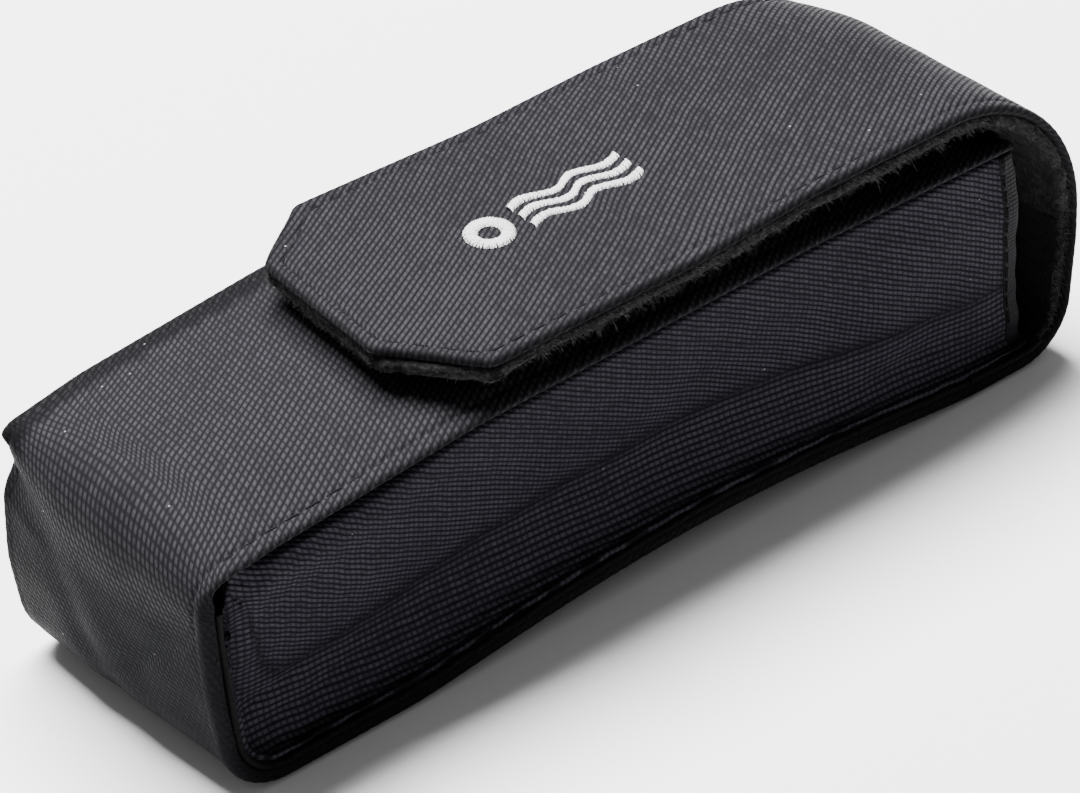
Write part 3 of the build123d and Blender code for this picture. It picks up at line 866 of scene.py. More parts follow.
def ribbed(name, dark, light, pitch=0.5, chevron=0.0, rough=0.6, depth=0.00014):
    """Woven tape: ribs across it, or slanted one way and then the other in broad bands."""
    m = Shader(name)
    u, v = m.uv()
    if chevron:
        fold = m.math("PINGPONG", v, chevron * MM)
        u = m.plus(u, fold)
    wobble = m.times(m.less(m.noise(m.place(), 400, 2.0), 0.5), 0.00012)
    rib = m.math("SINE", m.times(m.plus(u, wobble), 2 * math.pi / (pitch * MM)))
    rib = m.plus(m.times(rib, 0.5), 0.5)
    cross = m.math("SINE", m.times(v, 2 * math.pi / (pitch * 0.62 * MM)))
    body = m.times(m.math("POWER", rib, 0.7), m.plus(0.75, m.times(cross, 0.25)))
    hair = m.noise(m.place(), 4200, 3.0, 0.7)
    share = m.times(body, m.scaled(hair, 0.3, 0.7, 0.55, 1.15), clamp=True)
    colour = m.mix(share, dark, light)
    return m.finish(colour, rough, m.bump(m.plus(body, m.times(hair, 0.25)), depth), Specular_IOR_Level=0.06)


def hooked(name, dark, light):
    """Hook tape: rows of small stiff hooks on a woven ground."""
    m = Shader(name)
    u, v = m.uv()
    row = m.math("FLOOR", m.math("DIVIDE", v, 1.3 * MM))
    shift = m.times(m.math("MODULO", row, 2.0), 0.75 * MM)
    a = m.math("SINE", m.times(m.plus(u, shift), math.pi / (0.75 * MM)))
    b = m.math("SINE", m.times(v, math.pi / (1.3 * MM)))
    knob = m.math("POWER", m.times(m.times(a, a), m.times(b, b)), 1.4)
    hair = m.noise(m.place(), 3000, 2.0)
    colour = m.mix(m.times(knob, m.scaled(hair, 0.3, 0.7, 0.6, 1.1), clamp=True), dark, light)
    return m.finish(colour, 0.6, m.bump(m.plus(knob, m.times(hair, 0.1)), 0.0007), Specular_IOR_Level=0.12)


def foamed(name):
    """Open-cell foam."""
    m = Shader(name)
    where = m.place()
    cells = m.cells(where, 2200)[0]
    colour = m.mix(m.scaled(cells, 0.1, 0.6), (0.045, 0.045, 0.05), (0.12, 0.12, 0.125))
    return m.finish(colour, 0.9, m.bump(cells, 0.0003), Specular_IOR_Level=0.2)


outer_mat = woven(
    "nylon_cloth",
    (0.0098, 0.0095, 0.0110), (0.0176, 0.0171, 0.0197), (0.0345, 0.0335, 0.0378),
    turned=-1, beads=0.72,
)
flap_mat = woven(
    "nylon_cloth_on_the_flap",
    (0.0080, 0.0078, 0.0090), (0.0152, 0.0148, 0.0171), (0.0318, 0.0309, 0.0348),
    turned=-1, beads=0.42,
)
# The gusset is the same nylon as the outer cloth, given darker colours: partly painted shade on the pouch's
# sides, partly a darker cloth.
gusset_mat = woven(
    "nylon_gusset", (0.0056, 0.0053, 0.0071), (0.0138, 0.0130, 0.0176), (0.0290, 0.0277, 0.0352),
    turned=1, lint=0.25, beads=0.6, fine=1.08,
)
# One brushed lining in two copies, lit and shaded by colour: the flap's copy is lighter, painted light on its
# edge band in the flap's shadow; the body's copy is nearly black, painted shade inside the pouch.
flap_pile_mat = piled(
    "brushed_lining_of_the_flap", (0.003, 0.003, 0.003), (0.044, 0.0446, 0.0425), sheen=0.03
)
pile_mat = piled("brushed_lining", (0.0008, 0.0008, 0.0008), (0.009, 0.0092, 0.0087), sheen=0.02)
# The loose fibres are painted much lighter than their lining: painted light on fibres that lie in shade at
# the lining's cut edge.
fibre_mat = piled("lining_fibres", (0.05, 0.05, 0.05), (0.26, 0.262, 0.256), sheen=0.05)
gusset_lining_mat = ribbed("gusset_lining_cloth", (0.002, 0.002, 0.0024), (0.016, 0.016, 0.019), pitch=0.4)
thread_mat = twisted(
    "sewing_thread", (0.0016, 0.0015, 0.0020), (0.0120, 0.0116, 0.0142), shine=0.05, sheen=0.0
)
hem_mat = ribbed("gusset_hem", (0.0014, 0.0013, 0.0018), (0.0056, 0.0053, 0.0073), pitch=0.9, depth=0.0001)
tape_mat = ribbed("binding_tape_cloth", (0.0012, 0.0012, 0.0014), (0.0044, 0.0043, 0.0052), pitch=0.45)
web_mat = ribbed(
    "belt_webbing", (0.003, 0.003, 0.0035), (0.030, 0.029, 0.034), pitch=0.9, chevron=4.0, depth=0.0003
)
loop_mat = piled(
    "loop_pile", (0.002, 0.002, 0.0023), (0.020, 0.0195, 0.0225), scale=1500, depth=0.0007, sheen=0.05
)
hook_mat = hooked("hook_tape_plastic", (0.003, 0.003, 0.0035), (0.030, 0.030, 0.034))
foam_mat = foamed("padding_foam")
emblem_mat = twisted(
    "embroidery_thread", (0.52, 0.52, 0.53), (0.86, 0.86, 0.87), pitch=0.7, rough=0.42, sheen=0.3
)


def dressed(obj, material, slot_name, *nodes):
    """Gives a piece its material, and hides the CAD nodes it stands for."""
    obj.data.materials.append(material)
    if nodes:
        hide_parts(*nodes)
    return obj


def bends_low(obj):
    """Bakes the piece's transform into its mesh; the piece runs from the pouch round the riser's foot."""
    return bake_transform(obj)


def bends_high(obj):
    """Bakes the piece's transform into its mesh; the piece runs from the riser round the lid's fold."""
    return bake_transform(obj)


# Outer cloth -------------------------------------------------------------------------------------
body_cloth = outer_cloth("body_cloth", 0.0, S_BODY_END, seed=11)
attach(dressed(body_cloth, outer_mat, "outer_cloth", "body_outer"), "pouch")
riser_cloth = outer_cloth("riser_cloth", S_BODY_END, S_RISER_MIDDLE, seed=11)
bends_low(dressed(riser_cloth, flap_mat, "outer_cloth", "riser_outer"))
lid_cloth = outer_cloth("lid_cloth", S_RISER_MIDDLE, S_TIP, seed=11, with_tip=True)
bends_high(dressed(lid_cloth, flap_mat, "outer_cloth", "lid_outer"))


# Brushed lining ----------------------------------------------------------------------------------
def lining_half(s):
    """Half the lining's width: inside the gussets under the front panel, and out to the edge beyond."""
    below_fold = ease((s - S_FOLD - 6) / 5)
    return 25.0 + (HALF - 0.8 - 25.0) * below_fold


def flap_lining_half(s):
    return np.clip(lid_half(s, 0.4), 1, None) + 0 * s


body_pile = pile_lining("body_lining_pile", 3.0, S_BODY_END, lining_half, seed=21)
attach(dressed(body_pile, pile_mat, "pile_lining", "body_lining"), "pouch")
riser_pile = pile_lining("riser_lining_pile", S_BODY_END, S_RISER_MIDDLE, lining_half, seed=22)
bends_low(dressed(riser_pile, pile_mat, "pile_lining", "riser_lining"))
lid_pile = pile_lining("lid_lining_pile", S_RISER_MIDDLE, S_TIP, flap_lining_half, seed=23, with_tip=True)
bends_high(dressed(lid_pile, flap_pile_mat, "pile_lining", "lid_lining"))


fringe = lid_outline(LINING_INSET)
lid_fibres = nap_fibres("lid_lining_fibres", fringe[:, 0], fringe[:, 1], 26, 51)
bends_high(dressed(lid_fibres, fibre_mat, "pile_lining"))
riser_edge = np.array([S_BACK_END + 4, S_RISER_MIDDLE])
riser_fibres = joined(
    "riser_lining_fibres",
    [
        nap_fibres(f"riser_fibres_{side}", riser_edge, np.ones(2) * side * (HALF - 0.8), 14, 53 + side)
        for side in (-1, 1)
    ],
)
bends_low(dressed(riser_fibres, fibre_mat, "pile_lining"))


# Foam --------------------------------------------------------------------------------------------
def foam_pad(name, s_low, s_high, half, node):
    """A foam pad between the cloth and the lining: soft edges, a little thinner towards them."""
    s = np.linspace(s_low, s_high, max(int((s_high - s_low) / 1.5), 12))
    ends = np.minimum(s - s_low, s_high - s)
    y = np.concatenate([[-1, -0.985, -0.955, -0.9], np.linspace(-0.8, 0.8, 13), [0.9, 0.955, 0.985, 1]])[None]
    half = np.asarray(half(s) if callable(half) else np.full(s.shape, half))[:, None]
    yy, ss = half * y, np.broadcast_to(s[:, None], (len(s), y.shape[1]))
    e = np.minimum(half - np.abs(yy), ends[:, None])
    thin = 0.45 * np.sqrt(np.clip(1 - np.clip(e / 1.4, 0, 1), 0, 1)) * 1.9
    middle = (CLOTH + 0.1 + PADDING - 1.0) / 2
    thick = (PADDING - 1.0 - CLOTH - 0.2) / 2
    outer = middle - np.clip(thick - thin, 0.02, None) + waves(ss, yy, 20, 5) * 0.03
    inner = middle + np.clip(thick - thin, 0.02, None) + waves(ss, yy, 20, 6) * 0.03
    uv = np.stack([ss, yy], -1)
    obj = closed_panel(name, strip_point(ss, yy, outer), strip_point(ss, yy, inner), uv, uv)
    dressed(obj, foam_mat, "foam", node)
    return obj


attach(foam_pad("front_pad", 4.5, S_FOLD - 3, 24.0, "front_foam"), "pouch")
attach(foam_pad("end_pad", S_FOLD + 6, S_BOTTOM - 12, 24.0, "end_foam"), "pouch")
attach(foam_pad("back_pad", S_BOTTOM + 1, S_BODY_END - 0.5, 25.0, "back_foam"), "pouch")
bends_low(foam_pad("riser_pad", S_BODY_END + 0.5, S_RISER_MIDDLE - 0.5, 25.0, "riser_foam"))
bends_high(foam_pad("lid_pad", S_RISER_MIDDLE + 0.5, S_TIP - 5, lambda s: lid_half(s) - 5.0, "lid_foam"))


# Gussets -----------------------------------------------------------------------------------------
SHEET = 0.9
FLANGE_DEPTH = PADDING + 0.15 + SHEET
FILLET = 1.5
FLANGE_EDGE = HALF - 1.15
FAN = 46.0  # how far from the closed end the rows of the gusset fan out
front_x = edge_line[s_line < S_FOLD][::-1]
S_GUSSET_TOP = S_FOLD + 9.0
SKIRT_COLUMN = 27
SKIRT_SHEAR = 0.52
# How far out the gusset stands, in millimetres, by share of the way from its seam down to its foot
BULGE = (
    [0, 0.2, 0.4, 0.55, 0.66, 0.72, 0.79, 0.89, 1],
    [29.3, 28.3, 26.3, 24.2, 22.5, 22.1, 22.6, 24.2, 26.2],
)
BULGE_BY_END = ([0, 0.2, 0.4, 0.55, 0.66, 0.75, 0.85, 1], [29.6, 29.4, 28.4, 27.0, 25.6, 24.6, 24.8, 26.2])
BULGE_AT_MOUTH = ([0, 0.3, 0.6, 0.85, 1], [29.2, 28.8, 27.8, 26.6, 26.4])
# Its creases: x, z, length, slope, width and depth
GUSSET_CREASES = (
    (-78, 10, 22, 0.16, 1.7, 0.7),
    (-84, 15.5, 16, 0.26, 1.5, 0.5),
    (60, 12, 26, 0.10, 2.0, 0.45),
)


def gusset_grid(samples=330):
    """Points of the near gusset's outer face, rows from the front seam down to the flange's edge."""
    s_inner = np.linspace(S_GUSSET_TOP, S_BACK_END + 0.5, 900)
    inner_line = strip_point(s_inner, -23.0, FLANGE_DEPTH)[:, [0, 2]]
    q = np.linspace(0, 1, samples)
    length = distances(inner_line)
    foot = np.stack([np.interp(q * length[-1], length, inner_line[:, k]) for k in (0, 1)], 1)
    fan_foot = foot[0, 0] + FAN
    q_fan = np.interp(fan_foot, foot[foot[:, 1] < 20][:, 0], q[foot[:, 1] < 20])
    top_x = np.where(q < q_fan, foot[0, 0] + 2.2 * (1 - q / q_fan) + (q / q_fan) ** 0.85 * FAN, foot[:, 0])
    slant = ease((top_x - 60) / 28) * (foot[-1, 0] - MOUTH_X + 0.4)
    top_x = top_x - slant
    top_z = np.interp(top_x, front_x[:, 0], front_x[:, 1]) - 2 * FRONT_ROLL - 0.1
    top = np.stack([top_x, top_z], 1)
    reach = np.linalg.norm(foot - top, axis=1)[:, None]
    near_top = np.array([0, 0.35, 0.8, 1.3, 1.9, 2.6, 3.4, 4.4])
    near_foot = np.array([7.5, 5.8, 4.4, 3.4, 2.7, 2.2, 1.75, 1.3, 0.9, 0.5, 0.2, 0.0])
    share = np.linspace(0, 1, 26)[None, 1:-1]
    start = np.minimum(near_top[-1], reach * 0.3)
    stop = np.maximum(reach - near_foot[0], reach * 0.55)
    squeeze = np.minimum(1, reach / 14)
    middle_rows = start + (stop - start) * share
    down = np.concatenate([near_top[None] * squeeze, middle_rows, reach - near_foot[None] * squeeze], 1)
    down = np.maximum.accumulate(down, axis=1)
    w = down / reach
    xz = top[:, None] * (1 - w[..., None]) + foot[:, None] * w[..., None]
    even = np.linspace(0, length[-1], 1400)
    dense = np.stack([np.interp(even, length, inner_line[:, k]) for k in (0, 1)], 1)
    flat = xz.reshape(-1, 2)
    gap = np.concatenate(
        [np.sqrt(((part[:, None] - dense[None]) ** 2).sum(-1)).min(1) for part in np.array_split(flat, 40)]
    ).reshape(w.shape)
    x, z = xz[..., 0], xz[..., 1]
    seam_z = np.interp(x, front_x[:, 0], front_x[:, 1]) - 2 * FRONT_ROLL
    back_x, back_z = inner_line[inner_line[:, 1] < 12].T
    floor_z = np.interp(x, back_x, back_z)
    t = np.clip((seam_z - z) / np.maximum(seam_z - floor_z, 4), 0, 1)
    drop = np.clip(seam_z - z, 0, None)
    deep = seam_z - floor_z
    out = np.interp(t, *BULGE)
    out = np.apply_along_axis(smoothed, 0, np.apply_along_axis(smoothed, 1, out))
    at_mouth = ease((x - 12) / 50)
    by_end = 1 - ease((x - foot[0, 0] - 26) / 34)
    fuller = np.interp(t, *BULGE_BY_END)
    out = out * (1 - by_end) + by_end * fuller
    out = out * (1 - at_mouth) + at_mouth * np.interp(t, *BULGE_AT_MOUTH)
    out = out - 2.2 * np.exp(-((drop / 1.0) ** 3))
    plump = np.exp(-(((x - foot[0, 0] - 16) / 26) ** 2)) * np.exp(-(((drop - 4.5) / 4.5) ** 2))
    out = out + 1.9 * plump
    out = out + 0.12 * np.cos(2 * np.pi * x / STITCH_PITCH) * np.exp(-drop / 2.5)
    middle = ease(drop / 8) * ease(gap / 6)
    out = out + middle * (0.42 * waves(x * 0.55, z * 1.2, 26, 31) + 0.14 * waves(x * 0.6, z * 1.5, 11, 32))
    for cx, cz, run, rise, wide, deep in GUSSET_CREASES:
        line = z - cz - rise * (x - cx)
        out = out - deep * np.exp(-((line / wide) ** 2)) * np.exp(-(((x - cx) / run) ** 2)) * middle
    calm = ease((reach - 6) / 18)
    out = 28.6 + (out - 28.6) * calm
    out = out - calm * np.clip(out + FILLET + 0.3 - FLANGE_EDGE, 0, None) * np.exp(-((gap / 3.5) ** 2))
    bend = np.clip(1 - gap / FILLET, 0, 1)
    out = out + calm * FILLET * (1 - np.sqrt(np.clip(1 - bend**2, 0, 1)))
    wall = np.stack([x, -out, z], -1)
    at = np.linspace(0, 1, 11)[None, 1:]
    flange_out = out[:, -1:] + (FLANGE_EDGE - out[:, -1:]) * at
    stitched = 0.18 * np.exp(-(((flange_out - 28.0) / 0.4) ** 2))
    lift = waves(length[-1] * q[:, None] + 0 * at, at * 6, 9, 33) * 0.10 - stitched
    s_foot = np.interp(q * length[-1], length, s_inner)[:, None] + 0 * at
    flange = strip_point(s_foot, -flange_out, FLANGE_DEPTH + lift)
    flange[..., 1] = -flange_out
    grid = np.concatenate([wall, flange], 1)
    heights = np.concatenate([z, grid[:, z.shape[1] :, 2]], 1)
    rise = np.hypot(np.diff(heights, axis=1), np.diff(-grid[..., 1], axis=1))
    run = np.cumsum(np.concatenate([-z[:, :1], rise], 1), axis=1)
    # Painted shade, passed on as the point attribute "edge": darker weave in the slit at the closed end, down
    # the wall's foot and onto the flange there, and along the crease between the wall and its skirt.
    by_slit = np.exp(-np.clip(x[:, -1:] - foot[0, 0], 0, None) / 4)
    by_foot = 0.9 * np.exp(-((gap / 2.0) ** 2))
    slit_and_foot_shade = by_slit * np.concatenate([by_foot, 0.9 * np.exp(-at * 3) + 0 * flange_out], 1)
    crease = 0.65 * np.exp(-(((np.arange(grid.shape[1]) - SKIRT_COLUMN) / 1.4) ** 2))[None]
    lower = np.concatenate([w, np.ones(flange_out.shape)], 1)
    to_far = strip_point(s_foot[:, 0], 26.0, FLANGE_DEPTH) - strip_point(s_foot[:, 0], -26.0, FLANGE_DEPTH)
    return grid, run, np.clip(slit_and_foot_shade + crease, 0, 1), lower, to_far * [1, 0, 1]


def grid_normals(grid):
    normal = np.cross(np.gradient(grid, axis=0), np.gradient(grid, axis=1))
    normal /= np.maximum(np.linalg.norm(normal, axis=-1, keepdims=True), 1e-9)
    return normal if normal[len(grid) // 2, grid.shape[1] // 3, 1] < 0 else -normal


near_grid, row_run, near_edge, near_lower, to_far = gusset_grid()
near_normal = grid_normals(near_grid)
gusset_uv = np.stack([near_grid[..., 0], row_run], -1)


far_front_x = far_line[s_line < S_FOLD][::-1]


def mirrored(grid, side):
    return grid * np.array([1, -side, 1])


def placed(grid, side, rows=slice(None)):
    """The near gusset's points on the given side; the far one is fitted to its own edges of the strip."""
    grid = mirrored(grid, side)
    if side > 0:
        lower = near_lower[rows][..., None]
        higher = [np.interp(grid[..., 0], line[:, 0], line[:, 1]) for line in (far_front_x, front_x)]
        grid = grid + lower * to_far[rows][..., None, :]
        grid[..., 2] += (1 - lower[..., 0]) * (higher[0] - higher[1])
    return grid


def coarser_skirt(obj, columns, flipped):
    """Widens the weave on the gusset's skirt, where the cloth spreads out to its seam."""
    mesh = obj.data
    vertex = np.zeros(len(mesh.loops), np.int32)
    mesh.loops.foreach_get("vertex_index", vertex)
    column = vertex % (len(mesh.vertices) // 2) % columns
    column = columns - 1 - column if flipped else column
    column = column.reshape(-1, 4).min(1).repeat(4)
    layer = mesh.uv_layers["cloth"].data
    uv = np.zeros(len(vertex) * 2, np.float32)
    layer.foreach_get("uv", uv)
    skirt = column >= SKIRT_COLUMN
    uv = uv.reshape(-1, 2)
    uv[skirt, 1] += SKIRT_SHEAR * uv[skirt, 0]
    uv[skirt] *= 0.92
    layer.foreach_set("uv", uv.astype(np.float32).ravel())


def gusset(name, side, shallow, deep, material, slot_name, node, columns=None):
    outer = placed(near_grid - near_normal * shallow, side)
    inner = placed(near_grid - near_normal * deep, side)
    if columns is not None:
        outer, inner = outer[:, :columns], inner[:, :columns]
    uv = gusset_uv[:, : outer.shape[1]]
    obj = closed_panel(name, outer, inner, uv, uv, edge=near_edge[:, : outer.shape[1]], flip=side > 0)
    coarser_skirt(obj, outer.shape[1], side > 0)
    dressed(obj, material, slot_name, node)
    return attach(outward(obj), "pouch")


for side, word in ((-1, "right"), (1, "left")):
    gusset(f"{word}_gusset_cloth", side, 0.0, SHEET, gusset_mat, "gusset_cloth", f"{word}_gusset")
    gusset(
        f"{word}_gusset_inside", side, SHEET + 0.05, SHEET + 0.6, gusset_lining_mat, "gusset_lining",
        f"{word}_gusset_lining", columns=near_grid.shape[1] - 13,
    )

# Piping: the lining's turned edge, between the outer cloth's roll and the flange --------------------
def piping(name, s_low, s_high):
    bars = []
    for side in (-1, 1):
        s = np.arange(s_low, s_high, 0.8)
        y = side * (HALF - 0.75 + 0.12 * waves(s, s * 0, 11, 61))
        middle = strip_point(s, y, 3.45 + 0.1 * waves(s, s * 0, 15, 62))
        inward = strip_point(s, y, 4.45) - strip_point(s, y, 3.45)
        sideways = np.tile([0.0, 1.0, 0.0], (len(s), 1))
        bars.append(swept(f"{name}_{side}", middle, sideways, inward, 0.75, 0.6, sides=10, power=2.2))
    return joined(name, bars)


body_piping = piping("body_edge_piping", S_FOLD + 9, S_BODY_END)
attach(dressed(body_piping, tape_mat, "binding_tape"), "pouch")
riser_piping = piping("riser_edge_piping", S_BODY_END, S_BACK_END + 5)
bends_low(dressed(riser_piping, tape_mat, "binding_tape"))

# Mouth bindings ----------------------------------------------------------------------------------
for side, word in ((-1, "right"), (1, "left")):
    column = placed(near_grid[-1], side, -1)
    normal = mirrored(near_normal[-1], side)
    run = distances(column)
    even = np.arange(0.2, run[-1], 0.5)
    line = np.stack([np.interp(even, run, column[:, k]) for k in range(3)], 1)
    up = np.stack([np.interp(even, run, normal[:, k]) for k in range(3)], 1)
    up = np.stack([np.convolve(np.pad(up[:, k], 4, "edge"), np.ones(9) / 9, "valid") for k in range(3)], 1)
    up /= np.linalg.norm(up, axis=1, keepdims=True)
    along_line = np.gradient(line, axis=0)
    along_line /= np.linalg.norm(along_line, axis=1, keepdims=True)
    across_line = np.cross(along_line, up)
    across_line *= np.sign(across_line[:, :1] + 1e-9)
    tape_line = line - across_line * 0.9 - up * 0.5
    binding = swept(f"{word}_mouth_tape", tape_line, across_line, up, 1.9, 0.8, sides=20, wave=0.16)
    dressed(binding, hem_mat, "binding_tape", f"{word}_mouth_binding")
    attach(binding, "pouch")
    sewn = slice(4, -12)
    sewn_line = line[sewn] - across_line[sewn] * 2.0 + up[sewn] * 0.48
    mouth_stitches = stitches(
        f"{word}_mouth_stitches", sewn_line, up[sewn], thick=0.45, pitch=3.6, length=2.9
    )
    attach(dressed(mouth_stitches, thread_mat, "thread"), "pouch")

tape_y = np.linspace(-HALF + 3.2, HALF - 3.2, 110)
tape_centre = strip_point(2.0, tape_y, 2 * ROLL + 0.2)
tape_along = strip_point(0.0, tape_y, 2.0) - strip_point(4.0, tape_y, 2.0)
tape_along /= np.linalg.norm(tape_along, axis=1, keepdims=True)
tape_up = strip_point(2.0, tape_y, 0.0) - strip_point(2.0, tape_y, 3.0)
tape_up /= np.linalg.norm(tape_up, axis=1, keepdims=True)
front_tape = swept(
    "front_mouth_tape", tape_centre, tape_along, tape_up, 2.6, 2 * ROLL + 0.75, sides=24, wave=0.1
)
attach(dressed(front_tape, tape_mat, "binding_tape", "front_mouth_binding"), "pouch")


# Threads -----------------------------------------------------------------------------------------
def strip_stitches(name, runs, **kind):
    """Stitches along lines (s, y, depth, outward) on the strip."""
    parts = []
    for i, (s, y, depth, facing) in enumerate(runs):
        s, y, depth = np.broadcast_arrays(np.asarray(s, float), y, depth)
        points = strip_point(s, y, depth)
        normals = strip_point(s, y, depth - facing) - points
        parts.append(stitches(f"{name}_{i}", points, normals, **kind))
    return joined(name, parts) if len(parts) > 1 else parts[0]


seam_y = HALF - STITCH_INSET
front_run = np.arange(4.5, S_FOLD - 1.5, 0.5)
body_run = np.arange(S_FOLD + 6, S_BODY_END, 0.5)
riser_run = np.arange(S_BODY_END, S_RISER_MIDDLE, 0.5)
front_threads = strip_stitches(
    "front_seam_stitches", [(front_run, side * seam_y, 0.44, 1) for side in (-1, 1)]
)
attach(dressed(front_threads, thread_mat, "thread", "front_seam_thread"), "pouch")
flange_threads = strip_stitches(
    "flange_stitches",
    [(body_run, side * seam_y, 0.44, 1) for side in (-1, 1)]
    + [(body_run[8:], side * (HALF - 1.9), FLANGE_DEPTH - 0.3, -1) for side in (-1, 1)],
)
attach(dressed(flange_threads, thread_mat, "thread", "flange_thread"), "pouch")
riser_threads = strip_stitches(
    "riser_stitches",
    [(riser_run, side * seam_y, 0.44, 1) for side in (-1, 1)]
    + [(riser_run, side * seam_y, PADDING - 0.12, -1) for side in (-1, 1)],
)
bends_low(dressed(riser_threads, thread_mat, "thread", "riser_thread"))


seam_s, seam_across = walked(lid_outline(STITCH_INSET))
lid_threads = strip_stitches(
    "lid_stitches", [(seam_s, seam_across, 0.44, 1), (seam_s, seam_across, PADDING - 0.12, -1)]
)
bends_high(dressed(lid_threads, thread_mat, "thread", "lid_thread"))


# Patches -----------------------------------------------------------------------------------------
def s_on_front(x):
    front = s_line < S_FOLD
    return np.interp(-x, -middle_line[front, 0], s_line[front])


def s_on_lid(x):
    lid = s_line > S_LID
    return np.interp(-x, -middle_line[lid, 0], s_line[lid])


def patch(name, s_middle, low, high, half_s, half_y, material, slot_name, node, body, face):
    """A rectangle of tape with rounded corners, sewn flat to the strip."""
    u = np.linspace(-1, 1, 65)[:, None] * half_s
    v = np.linspace(-1, 1, 73)[None] * half_y
    u, v = np.broadcast_arrays(u, v)
    e = np.minimum(half_s - np.abs(u), half_y - np.abs(v))
    pull = np.clip(1 - e / 1.2, 0, 1) ** 2
    outer = low + (high - low) * pull * 0.45
    inner = high - (high - low) * pull * 0.45
    dip = 0.16 * np.exp(-(((e - 2.0) / 0.6) ** 2))
    if face > 0:
        outer = outer + dip
    else:
        inner = inner - dip
    ss = s_middle + u
    uv_outer, uv_inner = np.stack([u, v], -1), np.stack([u, v + 60], -1)
    obj = closed_panel(name, strip_point(ss, v, outer), strip_point(ss, v, inner), uv_outer, uv_inner)
    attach(dressed(obj, material, slot_name, node), body)
    return obj


patch_half = (patch_high - patch_low) / 2
patch_s = s_on_front((patch_low[0] + patch_high[0]) / 2)
patch(
    "loop_tape_patch", patch_s, -1.0, 0.05, patch_half[0], patch_half[1], loop_mat, "loop_tape",
    "loop_patch", "pouch", 1,
)
hook_s = s_on_lid((hook_low[0] + hook_high[0]) / 2)
hook_half = (hook_high - hook_low) / 2
patch(
    "hook_tape_patch", hook_s, PADDING + 0.05, PADDING + 1.0, hook_half[0], hook_half[1], hook_mat,
    "hook_tape", "hook_patch", "flap_lid", -1,
)


def square_run(s_middle, half_s, half_y):
    s, y = walked(np.array([(-1, -1), (1, -1), (1, 1), (-1, 1), (-1, -1)]) * [half_s, half_y])
    return s_middle + s, y


loop_line = square_run(patch_s, patch_half[0] - 2, patch_half[1] - 2)
hook_line = square_run(hook_s, hook_half[0] - 2, hook_half[1] - 2)
patch_thread = {"thick": 0.4, "pitch": 3.2, "length": 2.6}
patch_threads = strip_stitches("patch_stitches", [(*loop_line, -0.92, 1)], **patch_thread)
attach(dressed(patch_threads, thread_mat, "thread", "loop_patch_thread"), "pouch")
hook_threads = strip_stitches("hook_patch_stitches", [(*hook_line, PADDING + 0.95, -1)], **patch_thread)
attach(dressed(hook_threads, thread_mat, "thread"), "flap_lid")


# Belt loop ---------------------------------------------------------------------------------------
def back_height(x):
    back = (s_line > S_BOTTOM) & (s_line < S_BACK_END)
    return np.interp(x, middle_line[back, 0], middle_line[back, 1])


loop_half = (loop_high[0] - loop_low[0]) / 2
loop_wide = (loop_high[1] - loop_low[1]) / 2
WEB = 1.3
web_x = np.linspace(-loop_half, loop_half, 210)
flat_half, ramp = 27.0, 9.0
tab = ease((np.abs(web_x) - flat_half) / ramp)
web_top = tab * (back_height(LOOP_X + web_x) - 0.05) + (1 - tab) * WEB
web_y = np.linspace(-1, 1, 41)[None] * loop_wide
web_e = np.minimum(loop_wide - np.abs(web_y), (loop_half - np.abs(web_x))[:, None])
web_round = 0.35 * np.clip(1 - web_e / 0.7, 0, 1) ** 2
web_sag = 0.25 * (1 - (web_y / loop_wide) ** 2) * (1 - tab)[:, None]
web_xx = np.broadcast_to((LOOP_X + web_x)[:, None], web_e.shape)
web_yy = np.broadcast_to(web_y, web_e.shape)
web_low = np.stack([web_xx, web_yy, np.maximum(web_top[:, None] - WEB + web_round, 0.02)], -1)
web_up = np.stack([web_xx, web_yy, web_top[:, None] - web_round - web_sag * 0.3], -1)
web_uv = np.stack([web_xx, web_yy], -1)
belt_loop = closed_panel("belt_loop_webbing", web_low, web_up, web_uv, web_uv)
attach(dressed(outward(belt_loop), web_mat, "webbing", "belt_loop"), "pouch")


def loop_stitches(x0, x1, y0, y1):
    corners = [(x0, y0), (x1, y0), (x1, y1), (x0, y1), (x0, y0), (x1, y1)]
    cross = [(x0, y1), (x1, y0)]
    parts = []
    for i, c in enumerate((corners, cross)):
        x, y = walked(np.array(c, float))
        z = np.interp(x - LOOP_X, web_x, web_top) - WEB - 0.02
        down = np.tile([0, 0, -1.0], (len(x), 1))
        line = np.stack([x, y, z], 1)
        parts.append(
            stitches(f"box_{x0:.0f}_{i}", line, down, thick=0.5, pitch=3.0, length=2.4, lift=0.08)
        )
    return parts


edge_in = 3.0
box_parts = []
for side in (-1, 1):
    a, b = LOOP_X + side * (flat_half + ramp + 1.5), LOOP_X + side * (loop_half - edge_in)
    box_parts += loop_stitches(min(a, b), max(a, b), -loop_wide + edge_in, loop_wide - edge_in)
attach(dressed(joined("belt_loop_stitches", box_parts), thread_mat, "thread", "belt_loop_thread"), "pouch")


